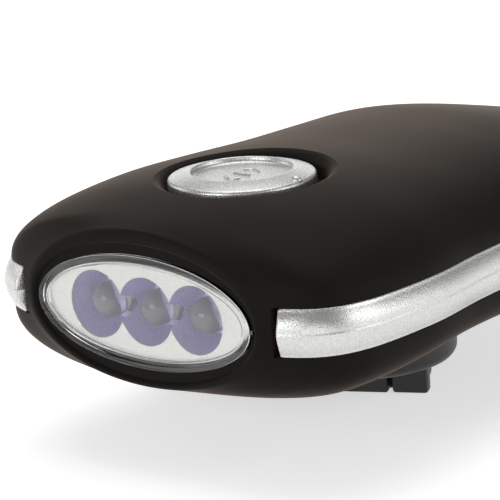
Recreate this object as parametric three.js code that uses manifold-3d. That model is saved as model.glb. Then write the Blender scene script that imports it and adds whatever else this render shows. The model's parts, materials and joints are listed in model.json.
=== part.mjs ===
// Wind-up torch with three lamps, a push button on top and a folding crank below. Millimetres.
// X runs across, Y from the lens to the tail, Z up. The two housings part on Z = 0 of the working
// frame, and the finished group is moved so that its origin is the middle of its base.
import * as THREE from "three";
import { mergeVertices } from "three/addons/utils/BufferGeometryUtils.js";
import Module from "manifold-3d";

const wasm = await Module();
wasm.setup();

// Clearances
const seatGap = 0.3; // between two fixed pieces that touch
const runGap = 0.35; // beside a piece that turns or slides
const overrun = 1; // how far a cutting solid runs past what it cuts

// Body, as driving sizes. The outline is given in shares of them along the length.
const crankY = 49; // of the crank's shaft behind the front face
const tailReach = 60; // from the shaft to the tail
const bodyLength = crankY + tailReach;
const bodyHalfWidth = 31.8;
const crownHeight = 15;
const keelDepth = 12.2;
const bandHeight = 3.35; // upright side on each side of the parting plane, which holds the trim
const noseBand = 0.5; // the same at the front face
const wall = 2;
const sideWall = 4;
const noseWall = 6; // from the front face to the hollow of the housings
const tailWall = 9; // solid tail behind the hollow
const stationShares = [0, 0.028, 0.055, 0.092, 0.13, 0.185, 0.24, 0.33, 0.44, 0.57, 0.7, 0.85, 1];
const widthShares = [0.647, 0.83, 0.92, 0.97, 0.99, 1, 0.997, 0.963, 0.95, 0.968, 0.997, 1, 1];
const crownShares = [0.76, 0.815, 0.86, 0.913, 0.953, 0.987, 1, 0.985, 0.94, 0.9, 0.845, 0.71, 0.6];
const keelShares = [0.86, 0.926, 0.975, 1, 1, 0.975, 0.934, 0.902, 0.906, 0.918, 0.926, 0.907, 0.869];
const tailStartShare = 0.66; // where the tail starts to close
const tailPower = 2.4;
const tailCrownPower = 1.8;
const noseBlendShares = [0.14, 0.09]; // over which the oval nose turns into the full section
const bandBlendShare = 0.04;
const crownPowers = [2.25, 2]; // across and upward, of the superellipse over the band
const keelPowers = [3.3, 3];
const nosePower = 2;

// Lens, its collar and what lies behind it
const lensHalfWidth = 19.2;
const lensHalfHeight = 8;
const lensRise = -0.1; // of the lens centre over the parting plane, so just under it
const collarHalfWidth = 20.1;
const collarHalfHeight = 10;
const collarDepth = 0.5;
const lensFront = 0.25;
const lensThickness = 0.7;
const lensBeadWidth = 1.7;
const lensBeadHeight = 0.25;
const plateMargin = 0.8; // of the reflector plate inside the lens outline
const plateThickness = 1.1;
const lipHalfWidth = 16.6;
const lipHalfHeight = 6.6;
const cupRadius = 4.6;
const cupBaseRadius = 3.3;
const cupPitch = 8.8;
const cupCount = 3;
const cupDepth = 6.4;
const cupWall = 0.7;
const lampRadius = 2.5;
const lampLength = 8.6;
const lampFlangeRadius = 2.9;
const lampFlangeHeight = 1;
const lampSetback = 0.25; // of the lamp's tip behind the face of the plate
const lampBoardHalfWidth = 14;
const lampBoardHalfHeight = 5;
const lampBoardThickness = 1.2;

// Trim strips, two on each side, crowned so that they stand proud along the parting plane
const trimStart = 1.2;
const trimTail = 17; // from the rear end of the strips to the tail
const trimThickness = 1.5;
const trimCrown = 1.3;
const trimPocket = 0.15; // open gap before the front end of each strip, along Y

// Push button and its switch
const buttonY = 23;
const buttonRadius = 10.5;
const buttonSlope = 0.45; // from the edge of the dish out to the rim
const buttonDishRim = 0.5; // width of the flat edge round the dish
const buttonTravel = 1.5;
const buttonHeight = 6;
const buttonChamfer = 0.6;
const buttonWall = 1.7;
const buttonDishRadius = 7.4;
const buttonDishDepth = 1.3;
const buttonFlangeWidth = 1;
const buttonFlangeHeight = 1.1;
const buttonStemRadius = 2;
const markWidth = 0.45; // of the raised marks on the dish
const markHeight = 0.25;
const markArcRadius = 1.15;
const markBarLength = 3.2;
const markPitch = 2.2;
const bumpRadius = 0.55;
const recessMargin = 1.4;
const recessShift = 0.6; // of the recess behind the button's centre
const recessDepth = 3.3;
const recessEdge = 0.9; // width of the broken edge round the recess
const recessFloor = 1.3;
const recessWall = 1.4;
const switchSide = 7;
const switchHeight = 3.2;
const plungerRadius = 1.4;
const plungerSunk = 1; // how much of the plunger stays inside the switch at rest

// Cells and circuit board
const cellRadius = 5.6;
const cellLength = 5.3;
const cellRim = 0.4; // width of the groove at the positive end of a cell
const cellCount = 3;
const cellSetting = 3.4; // of the cells' axis before the button's centre
const cradleWidth = 1.6;
const cradleRise = 3;
const contactThickness = 0.4;
const contactHeight = 9;
const contactWidth = 6;
const boardHalfWidth = 16;
const boardThickness = 1.2;
const boardGap = 3.6; // between the board and the generator
const boardScrewInset = 2.6;
const rectifierSize = [4.8, 4, 2.4];
const capacitorRadius = 2.5;
const capacitorHeight = 5.8;
const resistorRadius = 1.1;
const resistorLength = 5;

// Gear train. Each stage is a big wheel that drives a small pinion.
const gearModule = 0.8;
const pressureAngle = THREE.MathUtils.degToRad(25);
const wheelTeeth = [48, 36, 30];
const pinionTeeth = 12;
const addendumShare = 0.8; // of the module
const dedendumShare = 1.05;
const backlashShare = 0.16; // taken off each tooth, as a share of the module
const stageBearings = [112, 8.5, 256]; // direction of each next axle, in degrees from X
const bearingRise = 1.6; // of the crank's bearing over the floor
const wheelThicknesses = [2.2, 1.8, 1.6];
const wheelGap = 0.6; // between one wheel and the next above it
const pinionGrow = 0.2; // by which a pinion is longer than its partner
const axleRadius = 0.8;
const axleSunk = 0.6;
const axleBossWall = 1.2;
const axleBossHeight = 0.9;
const webDrop = 0.5; // of the thin web between rim and hub of a wheel, on its upper side
const hubWall = 2.2;
const plateGap = 0.7;
const bridgeThickness = 1.4;
const postRadius = 2.6;
const rearPostX = 0.5;
const bridgePostOffsets = [13, 5]; // of the right and the left post behind the crank's shaft
const bridgePostInset = 8; // of the rear post before the end wall of the hollow

// Generator
const statorRadius = 10.6;
const statorWall = 0.7;
const statorRoof = 2.2; // between the stator and the crown's inner side
const poleCount = 6;
const poleRadius = 6.2;
const poleThickness = 0.6;
const poleShare = 0.36; // of the pitch, width of one pole finger
const poleShortfall = 1; // of a finger, short of the other stator plate
const magnetRadius = 5.2;
const magnetInset = 1.4; // of the magnet inside the stator at each end
const bobbinWall = 0.5;
const windingInset = 0.5;

// Crank
const rotorRadius = 13.6;
const rotorHeight = 7.9;
const rotorEdge = 1.8; // radius of the rounded lower edge
const rotorGap = 0.5; // under the keel
const shaftRadius = 4;
const shaftFlat = 1;
const armAngle = THREE.MathUtils.degToRad(204); // the folded arm points this way from the shaft
const armWidth = 9.6;
const armThickness = 4;
const armReach = 36.5; // from the hinge pin to the knob's pin
const hingeOffset = 7.5; // of the hinge pin behind the shaft
const lugLength = 5.4;
const lugThickness = 2.4;
const lugEdge = 0.6; // broken lower corners of the lug
const lugSkin = 0.6; // closed face of the lug over the end of the pin
const tongueWidth = 3.6;
const hingePinRadius = 0.75;
const hingePinHead = 1.5;
const hingePinHeadHeight = 0.8;
const shoulderGap = 0.65; // between the lug and the arm's shoulder
const armRib = 0.8;
const armGrooveWidth = 4.4;
const knobRadius = 5.2;
const knobHeight = 7.2;
const knobWaist = 0.5;
const knobPinRadius = 1.2;
const knobPinHead = 2.1;
const knobPinHeadHeight = 0.9;

// Screws
const screwRadius = 1;
const screwHeadRadius = 2.2;
const screwHeadHeight = 1.3;
const screwSlotWidth = 0.5;
const bossRadius = 3.2;
const caseScrewLength = 8;
const caseScrewY = 13; // of the front pair
const caseScrewTail = 11; // from the rear pair to the tail
const caseScrewInset = 1.3; // of a boss from the side of the hollow
const counterboreRoof = 3.5; // of the counterbore under the parting plane
const boardScrewLength = 4.5;
const bridgeScrewLength = 5;
const crankScrewLength = 6;
const washerRadius = 4.6;
const washerThickness = 0.5;

// Leads and the lanyard hole
const leadRadius = 0.55;
const lanyardHoleRadius = 1.7;
const lanyardHoleInset = 4.6;

// Facets
const sectionSteps = 12;
const hollowSteps = 8; // the same for the hollow of a housing
const bodySteps = 16;
const stripSteps = 12; // along the trim and its channels
const fineSteps = 28;
const roundSteps = 16;
const innerSteps = 12; // round pieces that the housings hide
const smallSteps = 8;
const crownSteps = 3;
const leadSteps = 6;
const domeSteps = 4;

// Materials
const finish = (color, roughness, metalness = 0) =>
  new THREE.MeshStandardMaterial({ color, roughness, metalness });
const finishes = {
  black: finish(0x1d1b1a, 0.62),
  blackGloss: finish(0x1b1a1a, 0.4),
  silver: finish(0xb9b9b6, 0.34, 0.85),
  clear: finish(0xe8eef0, 0.05),
  cup: finish(0xa8a0c8, 0.35, 0.6),
  lamp: finish(0xe9e6ee, 0.08),
  board: finish(0x2f6b45, 0.5),
  steel: finish(0xa9acad, 0.35, 0.9),
  copper: finish(0xb36a3c, 0.4, 0.8),
  magnet: finish(0x3a3a3d, 0.5, 0.3),
  nylon: finish(0xe6e2d6, 0.5),
  cell: finish(0x6fa35c, 0.45),
  red: finish(0xa33227, 0.5),
};

// Solids and meshes

// A closed geometry as a solid with its faces pointing out.
function solid(geometry) {
  const bare = new THREE.BufferGeometry();
  const flat = geometry.index ? geometry.toNonIndexed() : geometry;
  bare.setAttribute("position", flat.getAttribute("position"));
  const merged = mergeVertices(bare, 1e-4);
  const numProp = 3;
  const vertProperties = merged.attributes.position.array;
  const triVerts = new Uint32Array(merged.index.array);
  const made = new wasm.Manifold(new wasm.Mesh({ numProp, vertProperties, triVerts }));
  if (made.volume() > 0) return made;
  for (let i = 0; i < triVerts.length; i += 3) {
    [triVerts[i + 1], triVerts[i + 2]] = [triVerts[i + 2], triVerts[i + 1]];
  }
  return new wasm.Manifold(new wasm.Mesh({ numProp, vertProperties, triVerts }));
}

const group = new THREE.Group();

// Adds a solid to the torch as one named piece.
function piece(name, made, material) {
  const { vertProperties, triVerts, numProp } = made.getMesh();
  const corners = [];
  for (let i = 0; i < vertProperties.length; i += numProp) {
    corners.push(vertProperties[i], vertProperties[i + 1], vertProperties[i + 2]);
  }
  const geometry = new THREE.BufferGeometry();
  geometry.setAttribute("position", new THREE.Float32BufferAttribute(corners, 3));
  geometry.setIndex(Array.from(triVerts));
  geometry.computeVertexNormals();
  const mesh = new THREE.Mesh(geometry, material);
  mesh.name = name;
  group.add(mesh);
  return mesh;
}

const lifted = (geometry, x, y, z) => geometry.clone().translate(x, y, z);

// A turned solid about Z. The profile is a list of [radius, height].
function turned(profile, steps = roundSteps) {
  const points = profile.map(([r, z]) => new THREE.Vector2(r, z));
  return new THREE.LatheGeometry(points, steps).rotateX(Math.PI / 2);
}

// A cylinder about Z from z0 up to z1.
const rod = (radius, z0, z1, steps = roundSteps) =>
  turned([[0, z0], [radius, z0], [radius, z1], [0, z1]], steps);

// A flat outline [[x, y], ...] raised from z0 to z1.
function raised(outline, z0, z1) {
  const shape = new THREE.Shape(outline.map(([x, y]) => new THREE.Vector2(x, y)));
  const geometry = new THREE.ExtrudeGeometry(shape, { depth: z1 - z0, bevelEnabled: false });
  return geometry.translate(0, 0, z0);
}

// A block between two corners.
function block([x0, y0, z0], [x1, y1, z1]) {
  const geometry = new THREE.BoxGeometry(x1 - x0, y1 - y0, z1 - z0);
  return geometry.translate((x0 + x1) / 2, (y0 + y1) / 2, (z0 + z1) / 2);
}

// An oval disc that faces along Y, centred on the lens, from y0 to y1.
function oval(halfWidth, halfHeight, y0, y1, steps = fineSteps) {
  const disc = rod(1, y0, y1, steps).rotateX(-Math.PI / 2).scale(halfWidth, 1, halfHeight);
  return disc.translate(0, 0, lensRise);
}

const at = (made, x, y, z = 0) => made.translate([x, y, z]);
const join = (solids) => solids.reduce((all, one) => all.add(one));

// Body form

// A smooth curve through the values at the stations, with flat ends.
function follow(values, t) {
  const xs = stationShares;
  const last = xs.length - 1;
  const slope = (i) =>
    i === 0 || i === last ? 0 : (values[i + 1] - values[i - 1]) / (xs[i + 1] - xs[i - 1]);
  let i = 0;
  while (i < last - 1 && t > xs[i + 1]) i += 1;
  const span = xs[i + 1] - xs[i];
  const u = (t - xs[i]) / span;
  const endSlope = i === 0 ? (values[1] - values[0]) / span : slope(i);
  const a = (1 + 2 * u) * (1 - u) ** 2 * values[i] + u * (1 - u) ** 2 * span * endSlope;
  return a + u * u * (3 - 2 * u) * values[i + 1] + u * u * (u - 1) * span * slope(i + 1);
}

const ease = (t) => THREE.MathUtils.smoothstep(t, 0, 1);

// Shrinks from 1 to 0 over the tail.
function closing(t, power) {
  const u = Math.max(0, (t - tailStartShare) / (1 - tailStartShare));
  return Math.max(0, 1 - u ** power) ** (1 / power);
}

const widthAt = (y) => {
  const t = y / bodyLength;
  return bodyHalfWidth * follow(widthShares, t) * closing(t, tailPower);
};
const bandAt = (y) =>
  THREE.MathUtils.lerp(noseBand, bandHeight, ease(y / bodyLength / bandBlendShare));
const crownAt = (y) => {
  const t = y / bodyLength;
  const open = crownHeight * follow(crownShares, t) - bandAt(y);
  return bandAt(y) + open * closing(t, tailCrownPower);
};
const keelAt = (y) => {
  const t = y / bodyLength;
  const open = keelDepth * follow(keelShares, t) - bandAt(y);
  return bandAt(y) + open * closing(t, tailCrownPower);
};
const powersAt = (side, y) => {
  const blend = ease(y / bodyLength / noseBlendShares[side > 0 ? 0 : 1]);
  return (side > 0 ? crownPowers : keelPowers).map((p) => THREE.MathUtils.lerp(nosePower, p, blend));
};

// Height of the crown above a place on the parting plane.
function crownOver(x, y) {
  const [across, upward] = powersAt(1, y);
  const share = Math.min(1, Math.abs(x) / widthAt(y));
  return bandAt(y) + (crownAt(y) - bandAt(y)) * (1 - share ** across) ** (1 / upward);
}

// Half width of the body at a height.
function sideAt(y, z) {
  const side = Math.sign(z) || 1;
  const [across, upward] = powersAt(side, y);
  const band = bandAt(y);
  const open = (side > 0 ? crownAt(y) : keelAt(y)) - band;
  const share = Math.min(1, Math.max(0, Math.abs(z) - band) / open);
  return widthAt(y) * (1 - share ** upward) ** (1 / across);
}

// Half a section, over the parting plane when side is 1 and under it when -1.
function halfSection(y, side, inset, sideInset, base, steps) {
  const width = Math.max(widthAt(y) - sideInset, inset / 2);
  const band = bandAt(y);
  const top = Math.max((side > 0 ? crownAt(y) : keelAt(y)) - inset, band + inset / 2);
  const [across, upward] = powersAt(side, y);
  const points = [[width, base]];
  for (let i = 0; i <= steps; i += 1) {
    const angle = (Math.PI * i) / steps;
    const c = Math.cos(angle);
    const s = Math.sin(angle);
    const x = Math.sign(c) * width * Math.abs(c) ** (2 / across);
    points.push([x, band + (top - band) * Math.abs(s) ** (2 / upward)]);
  }
  points.push([-width, base]);
  return points.map(([x, z]) => new THREE.Vector3(x, y, side * z));
}

// A solid through a list of closed rings that have the same number of points.
function loft(rings) {
  const corners = [];
  const triangle = (a, b, c) => corners.push(...a.toArray(), ...b.toArray(), ...c.toArray());
  for (let i = 0; i + 1 < rings.length; i += 1) {
    const [one, two] = [rings[i], rings[i + 1]];
    one.forEach((point, j) => {
      const next = (j + 1) % one.length;
      triangle(point, two[j], two[next]);
      triangle(point, two[next], one[next]);
    });
  }
  const centre = (ring) =>
    ring.reduce((sum, p) => sum.add(p), new THREE.Vector3()).divideScalar(ring.length);
  const [front, back] = [rings[0], rings[rings.length - 1]];
  const [frontCentre, backCentre] = [centre(front), centre(back)];
  front.forEach((point, j) => triangle(frontCentre, point, front[(j + 1) % front.length]));
  back.forEach((point, j) => triangle(backCentre, back[(j + 1) % back.length], point));
  const geometry = new THREE.BufferGeometry();
  geometry.setAttribute("position", new THREE.Float32BufferAttribute(corners, 3));
  return solid(geometry);
}

// Stations from y0 to y1, closer together at both ends.
const stations = (y0, y1, count) =>
  Array.from({ length: count + 1 }, (_, i) => {
    return y0 + ((y1 - y0) * (1 - Math.cos((Math.PI * i) / count))) / 2;
  });

const endTrim = bodyLength * 0.0004; // keeps the last ring of the tail open
const bodyHalf = (side) =>
  loft(
    stations(0, bodyLength - endTrim, bodySteps).map((y) =>
      halfSection(y, side, 0, 0, seatGap / 2, sectionSteps),
    ),
  );
const hollowHalf = (side) =>
  loft(
    stations(noseWall, bodyLength - tailWall, bodySteps / 2).map((y) =>
      halfSection(y, side, wall, sideWall, -overrun, hollowSteps),
    ),
  );

// A place on the side of the body at a height, pushed out along the outline's normal.
function sidePoint(y, z, out, side) {
  const step = bodyLength * 0.002;
  const rise = (widthAt(y + step) - widthAt(y - step)) / (2 * step);
  const length = Math.hypot(1, rise);
  const x = sideAt(y, z) + out / length;
  return new THREE.Vector3(side * x, y - (out * rise) / length, z);
}

// A strip along the side whose section is a list of [distance from the side, height].
function sideStrip(y0, y1, section, side) {
  const rings = stations(y0, y1, stripSteps).map((y) =>
    section.map(([out, z]) => sidePoint(y, z, out, side)),
  );
  return loft(rings);
}

// Housings
const upperBody = bodyHalf(1);
const lowerBody = bodyHalf(-1);
const lensBack = lensFront + lensThickness;
const plateFront = lensBack + seatGap;
const plateBack = plateFront + plateThickness;
const nosePocket = join([
  solid(oval(collarHalfWidth, collarHalfHeight, -overrun, collarDepth)),
  solid(oval(lensHalfWidth + seatGap, lensHalfHeight + seatGap, -overrun, lensBack + seatGap / 2)),
  solid(
    oval(
      lensHalfWidth - plateMargin + seatGap,
      lensHalfHeight - plateMargin + seatGap,
      -overrun,
      plateBack + seatGap,
    ),
  ),
  solid(oval(lipHalfWidth, lipHalfHeight, -overrun, noseWall + overrun)),
]);
const trimEnd = bodyLength - trimTail;
const grooveHeight = bandHeight + seatGap;
const trimGrooves = join(
  [-1, 1].map((side) =>
    sideStrip(
      trimStart - trimPocket,
      trimEnd,
      [
        [-trimThickness - seatGap, -grooveHeight],
        [2 * overrun, -grooveHeight],
        [2 * overrun, grooveHeight],
        [-trimThickness - seatGap, grooveHeight],
      ],
      side,
    ),
  ),
);
const lanyardHole = at(
  solid(rod(lanyardHoleRadius, -keelDepth, crownHeight, smallSteps)),
  0,
  bodyLength - lanyardHoleInset,
);

// Places of the case screws, left and right at the front and the rear.
const caseScrewPlaces = [caseScrewY, bodyLength - caseScrewTail].flatMap((y) => {
  const x = widthAt(y) - sideWall - bossRadius - caseScrewInset;
  return [[-x, y], [x, y]];
});

const floorAt = (y) => wall - keelAt(y);
const buttonTop = crownAt(buttonY);
const buttonRimTop = buttonTop - buttonSlope;
const recessRadius = buttonRadius + recessMargin;
const recessY = buttonY + recessShift;
const recessFloorTop = buttonTop - recessDepth;
const recessFloorBottom = recessFloorTop - recessFloor;

// Gear train layout

const pitchRadius = (teeth) => (gearModule * teeth) / 2;
const axles = [new THREE.Vector2(0, crankY)];
wheelTeeth.forEach((teeth, i) => {
  const reach = pitchRadius(teeth) + pitchRadius(pinionTeeth);
  const bearing = THREE.MathUtils.degToRad(stageBearings[i]);
  const step = new THREE.Vector2(reach * Math.cos(bearing), reach * Math.sin(bearing));
  axles.push(axles[i].clone().add(step));
});
const gearFloor = floorAt(crankY);
const bearingTop = gearFloor + bearingRise;
const wheelBottoms = [bearingTop + runGap];
wheelThicknesses.forEach((thickness, i) => {
  wheelBottoms.push(wheelBottoms[i] + thickness + (i < 2 ? wheelGap : plateGap));
});
const bridgeBottom = wheelBottoms[3];
const bridgeTop = bridgeBottom + bridgeThickness;

// Posts that carry the bridge plate: one on the right, one on the left, one at the rear.
const postPlaces = bridgePostOffsets.map((offset, i) => {
  const x = widthAt(crankY + offset) - sideWall - postRadius - runGap;
  return [i === 0 ? x : -x, crankY + offset];
});
postPlaces.push([rearPostX, bodyLength - tailWall - bridgePostInset - postRadius]);

// Circuit board, between the switch and the generator
const boardBottom = floorAt(buttonY) + seatGap + 2 * cellRadius + seatGap;
const boardTop = boardBottom + boardThickness;
const boardFrontY = buttonY - buttonRadius + overrun;
const boardBackY = axles[3].y - statorRadius - boardGap;
const boardScrewX = boardHalfWidth - boardScrewInset;
const boardScrewY = boardBackY - boardScrewInset;

// Upper housing: shell, button well, bosses for the case screws and for the board
const well = at(
  solid(rod(recessRadius + recessWall, recessFloorBottom, crownHeight, fineSteps)),
  0,
  recessY,
).intersect(upperBody);
const wellHole = at(
  solid(
    rod(buttonRadius + runGap, recessFloorBottom - overrun, recessFloorTop + overrun, fineSteps),
  ),
  0,
  buttonY,
);
const wellCut = at(
  solid(
    turned(
      [
        [0, recessFloorTop],
        [recessRadius, recessFloorTop],
        [recessRadius, buttonRimTop - recessEdge],
        [recessRadius + recessEdge, buttonRimTop + recessEdge],
        [recessRadius + 3 * recessEdge, buttonRimTop + 3 * recessEdge],
        [0, buttonRimTop + 3 * recessEdge],
      ],
      fineSteps,
    ),
  ),
  0,
  recessY,
).add(wellHole);
const pilot = (length, z) => solid(rod(screwRadius + seatGap, z - overrun, z + length, smallSteps));
const upperBosses = join(
  caseScrewPlaces.map(([x, y]) =>
    at(solid(rod(bossRadius, seatGap / 2, crownHeight, smallSteps)), x, y),
  ),
).intersect(upperBody);
const casePilots = join(
  caseScrewPlaces.map(([x, y]) =>
    at(pilot(caseScrewLength - counterboreRoof + seatGap, 0), x, y),
  ),
);
const boardBosses = join(
  [-1, 1].map((side) =>
    at(
      solid(rod(bossRadius - seatGap, boardTop + seatGap, crownHeight, smallSteps)),
      side * boardScrewX,
      boardScrewY,
    ),
  ),
).intersect(upperBody);
const boardPilots = join(
  [-1, 1].map((side) =>
    at(
      pilot(boardScrewLength - boardThickness, boardTop + seatGap),
      side * boardScrewX,
      boardScrewY,
    ),
  ),
);
const upperShell = upperBody.subtract(hollowHalf(1)).add(well).add(upperBosses).add(boardBosses);
piece(
  "upper_housing",
  upperShell
    .subtract(wellCut)
    .subtract(nosePocket)
    .subtract(trimGrooves)
    .subtract(casePilots)
    .subtract(boardPilots)
    .subtract(lanyardHole),
  finishes.black,
);

// Lower housing: shell, crank bearing, axle bosses, posts and the cells' cradle
const lowerBosses = join(
  caseScrewPlaces.map(([x, y]) =>
    at(solid(rod(bossRadius, -keelDepth, -seatGap / 2, smallSteps)), x, y),
  ),
).intersect(lowerBody);
const caseHoles = join(
  caseScrewPlaces.flatMap(([x, y]) => [
    at(solid(rod(screwRadius + seatGap, -keelDepth - overrun, overrun, smallSteps)), x, y),
    at(
      solid(
        rod(screwHeadRadius + seatGap, -keelDepth - overrun, -counterboreRoof, smallSteps),
      ),
      x,
      y,
    ),
  ]),
);
const bridgePosts = join(
  postPlaces.map(([x, y]) => at(solid(rod(postRadius, -keelDepth, bridgeBottom - seatGap, smallSteps)), x, y)),
).intersect(lowerBody);
const bridgePilots = join(
  postPlaces.map(([x, y]) =>
    at(
      solid(rod(screwRadius + seatGap, bridgeTop - bridgeScrewLength, bridgeTop, smallSteps)),
      x,
      y,
    ),
  ),
);
const axleBosses = join(
  [1, 2].map((i) =>
    at(
      solid(
        rod(
          axleRadius + seatGap + axleBossWall,
          -keelDepth,
          gearFloor + axleBossHeight,
          smallSteps,
        ),
      ),
      axles[i].x,
      axles[i].y,
    ),
  ),
).intersect(lowerBody);
const axleHoles = join(
  [1, 2].map((i) =>
    at(
      solid(
        rod(axleRadius + seatGap, gearFloor - axleSunk - seatGap, overrun, smallSteps),
      ),
      axles[i].x,
      axles[i].y,
    ),
  ),
);
const bearing = at(
  solid(rod(shaftRadius + runGap + wall, -keelDepth, bearingTop, roundSteps)),
  0,
  crankY,
).intersect(lowerBody);
const bearingHole = at(
  solid(rod(shaftRadius + runGap, -keelDepth - overrun, 0, roundSteps)),
  0,
  crankY,
);
const cellY = buttonY - cellSetting;
const cellFloor = floorAt(cellY) + seatGap;
const cellZ = cellFloor + cellRadius;
const stackHalf = (cellCount * cellLength + (cellCount - 1) * seatGap) / 2;
const cradleRibs = join(
  [-1, 1].map((side) =>
    solid(
      block(
        [side * (stackHalf / 2) - cradleWidth / 2, cellY - cellRadius - wall, floorAt(cellY) - wall / 2],
        [side * (stackHalf / 2) + cradleWidth / 2, cellY + cellRadius + wall, cellFloor + cradleRise],
      ),
    ),
  ),
);
const cradleCut = at(
  solid(
    rod(cellRadius + seatGap, -stackHalf, stackHalf, roundSteps).rotateY(Math.PI / 2),
  ),
  0,
  cellY,
  cellZ,
);
piece(
  "lower_housing",
  lowerBody
    .subtract(hollowHalf(-1))
    .add(lowerBosses)
    .add(bridgePosts)
    .add(axleBosses)
    .add(bearing)
    .add(cradleRibs.subtract(cradleCut))
    .subtract(caseHoles)
    .subtract(bridgePilots)
    .subtract(axleHoles)
    .subtract(bearingHole)
    .subtract(nosePocket)
    .subtract(trimGrooves)
    .subtract(lanyardHole),
  finishes.black,
);

// Trim strips
for (const [sideName, side] of [["left", -1], ["right", 1]]) {
  for (const [rowName, row] of [["upper", 1], ["lower", -1]]) {
    const face = Array.from({ length: crownSteps + 1 }, (_, i) => {
      const z = THREE.MathUtils.lerp(seatGap / 2, bandHeight, i / crownSteps);
      return [trimCrown * (1 - (z / bandHeight) ** 2), row * z];
    });
    const section = [[-trimThickness, row * bandHeight], [-trimThickness, (row * seatGap) / 2], ...face];
    const strip = sideStrip(trimStart, trimEnd - seatGap, section, side);
    piece(`trim_${sideName}_${rowName}`, strip, finishes.silver);
  }
}

// Lens cover with its raised rim
const lensBead = solid(
  oval(lensHalfWidth, lensHalfHeight, lensFront - lensBeadHeight, lensBack),
).subtract(
  solid(
    oval(
      lensHalfWidth - lensBeadWidth,
      lensHalfHeight - lensBeadWidth,
      lensFront - lensBeadHeight - overrun,
      lensFront,
    ),
  ),
);
piece("lens_cover", lensBead, finishes.clear);

// Reflector: a plate with three cups that run into each other
const cupPlaces = Array.from({ length: cupCount }, (_, i) => (i - (cupCount - 1) / 2) * cupPitch);
const cupBack = plateFront + cupDepth;
function cup(grow, y0, y1) {
  const slope = (cupRadius - cupBaseRadius) / cupDepth;
  const radius = (y) => cupRadius - slope * (y - plateFront) + grow;
  return turned([[0, y0], [radius(y0), y0], [radius(y1), y1], [0, y1]]).rotateX(-Math.PI / 2);
}
const placed = (geometry) =>
  join(cupPlaces.map((x) => solid(lifted(geometry, x, 0, lensRise))));
const lampHole = rod(lampRadius + seatGap, cupBack - overrun, cupBack + wall).rotateX(-Math.PI / 2);
piece(
  "reflector",
  solid(
    oval(
      lensHalfWidth - plateMargin,
      lensHalfHeight - plateMargin,
      plateFront,
      plateBack,
    ),
  )
    .add(placed(cup(cupWall, plateFront + plateThickness / 2, cupBack + cupWall)))
    .subtract(placed(cup(0, plateFront - overrun, cupBack)))
    .subtract(placed(lampHole)),
  finishes.cup,
);

// Lamps: a domed cylinder with a flange at its foot
const lampTip = plateFront + lampSetback;
const lampFoot = lampTip + lampLength;
const domeProfile = Array.from({ length: domeSteps + 1 }, (_, i) => {
  const angle = (Math.PI / 2) * (i / domeSteps);
  return [lampRadius * Math.sin(angle), lampTip + lampRadius * (1 - Math.cos(angle))];
});
const lampProfile = [
  ...domeProfile,
  [lampRadius, lampFoot - lampFlangeHeight],
  [lampFlangeRadius, lampFoot - lampFlangeHeight],
  [lampFlangeRadius, lampFoot],
  [0, lampFoot],
];
["left", "centre", "right"].forEach((name, i) => {
  const lamp = turned(lampProfile, roundSteps).rotateX(-Math.PI / 2);
  piece(`lamp_${name}`, solid(lifted(lamp, cupPlaces[i], 0, lensRise)), finishes.lamp);
});

// Lamp board, upright behind the lamps
const lampBoardFront = lampFoot + seatGap;
const lampBoardBack = lampBoardFront + lampBoardThickness;
piece(
  "lamp_board",
  solid(
    block(
      [-lampBoardHalfWidth, lampBoardFront, lensRise - lampBoardHalfHeight],
      [lampBoardHalfWidth, lampBoardBack, lensRise + lampBoardHalfHeight],
    ),
  ),
  finishes.board,
);

// Push button: chamfered cap with a dish, raised marks, a bump, a flange and a stem
const buttonBottom = buttonTop - buttonHeight;
const dishFloor = buttonTop - buttonDishDepth;
const stemBottom = buttonBottom + seatGap;
const dishSteps = 4;
const dishProfile = Array.from({ length: dishSteps + 1 }, (_, i) => {
  const share = 1 - i / dishSteps;
  return [buttonDishRadius * share, dishFloor + buttonDishDepth * share ** 4];
});
const buttonCap = solid(
  turned(
    [
      [0, stemBottom],
      [buttonStemRadius, stemBottom],
      [buttonStemRadius, dishFloor - buttonWall],
      [buttonRadius - buttonWall, dishFloor - buttonWall],
      [buttonRadius - buttonWall, buttonBottom],
      [buttonRadius + buttonFlangeWidth, buttonBottom],
      [buttonRadius + buttonFlangeWidth, buttonBottom + buttonFlangeHeight],
      [buttonRadius, buttonBottom + buttonFlangeHeight],
      [buttonRadius, buttonRimTop - buttonChamfer],
      [buttonRadius - buttonChamfer, buttonRimTop],
      [buttonDishRadius + buttonDishRim, buttonTop],
      ...dishProfile,
    ],
    fineSteps,
  ),
);
const markFloor = dishFloor - seatGap;
const markTop = dishFloor + markHeight;
const markRing = (steps) =>
  solid(rod(markArcRadius, markFloor, markTop, steps)).subtract(
    solid(rod(markArcRadius - markWidth, markFloor - overrun, markTop + overrun, steps)),
  );
const markGap = solid(
  block([-markWidth, 0, markFloor - overrun], [markWidth, markArcRadius * 2, markTop + overrun]),
);
const marks = [
  at(markRing(smallSteps).subtract(markGap), 0, buttonY - markPitch),
  at(
    solid(
      block(
        [-markBarLength / 2, -markWidth / 2, markFloor],
        [markBarLength / 2, markWidth / 2, markTop],
      ),
    ),
    0,
    buttonY,
  ),
  at(markRing(smallSteps), 0, buttonY + markPitch),
];
const bump = solid(new THREE.SphereGeometry(bumpRadius, smallSteps, smallSteps / 2));
const bumpX = (buttonRadius - buttonChamfer + buttonDishRadius + buttonDishRim) / 2;
const bumpZ = (buttonTop + buttonRimTop) / 2;
piece(
  "button_cap",
  at(buttonCap, 0, buttonY).add(join(marks)).add(at(bump, bumpX, buttonY, bumpZ)),
  finishes.silver,
);

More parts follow.
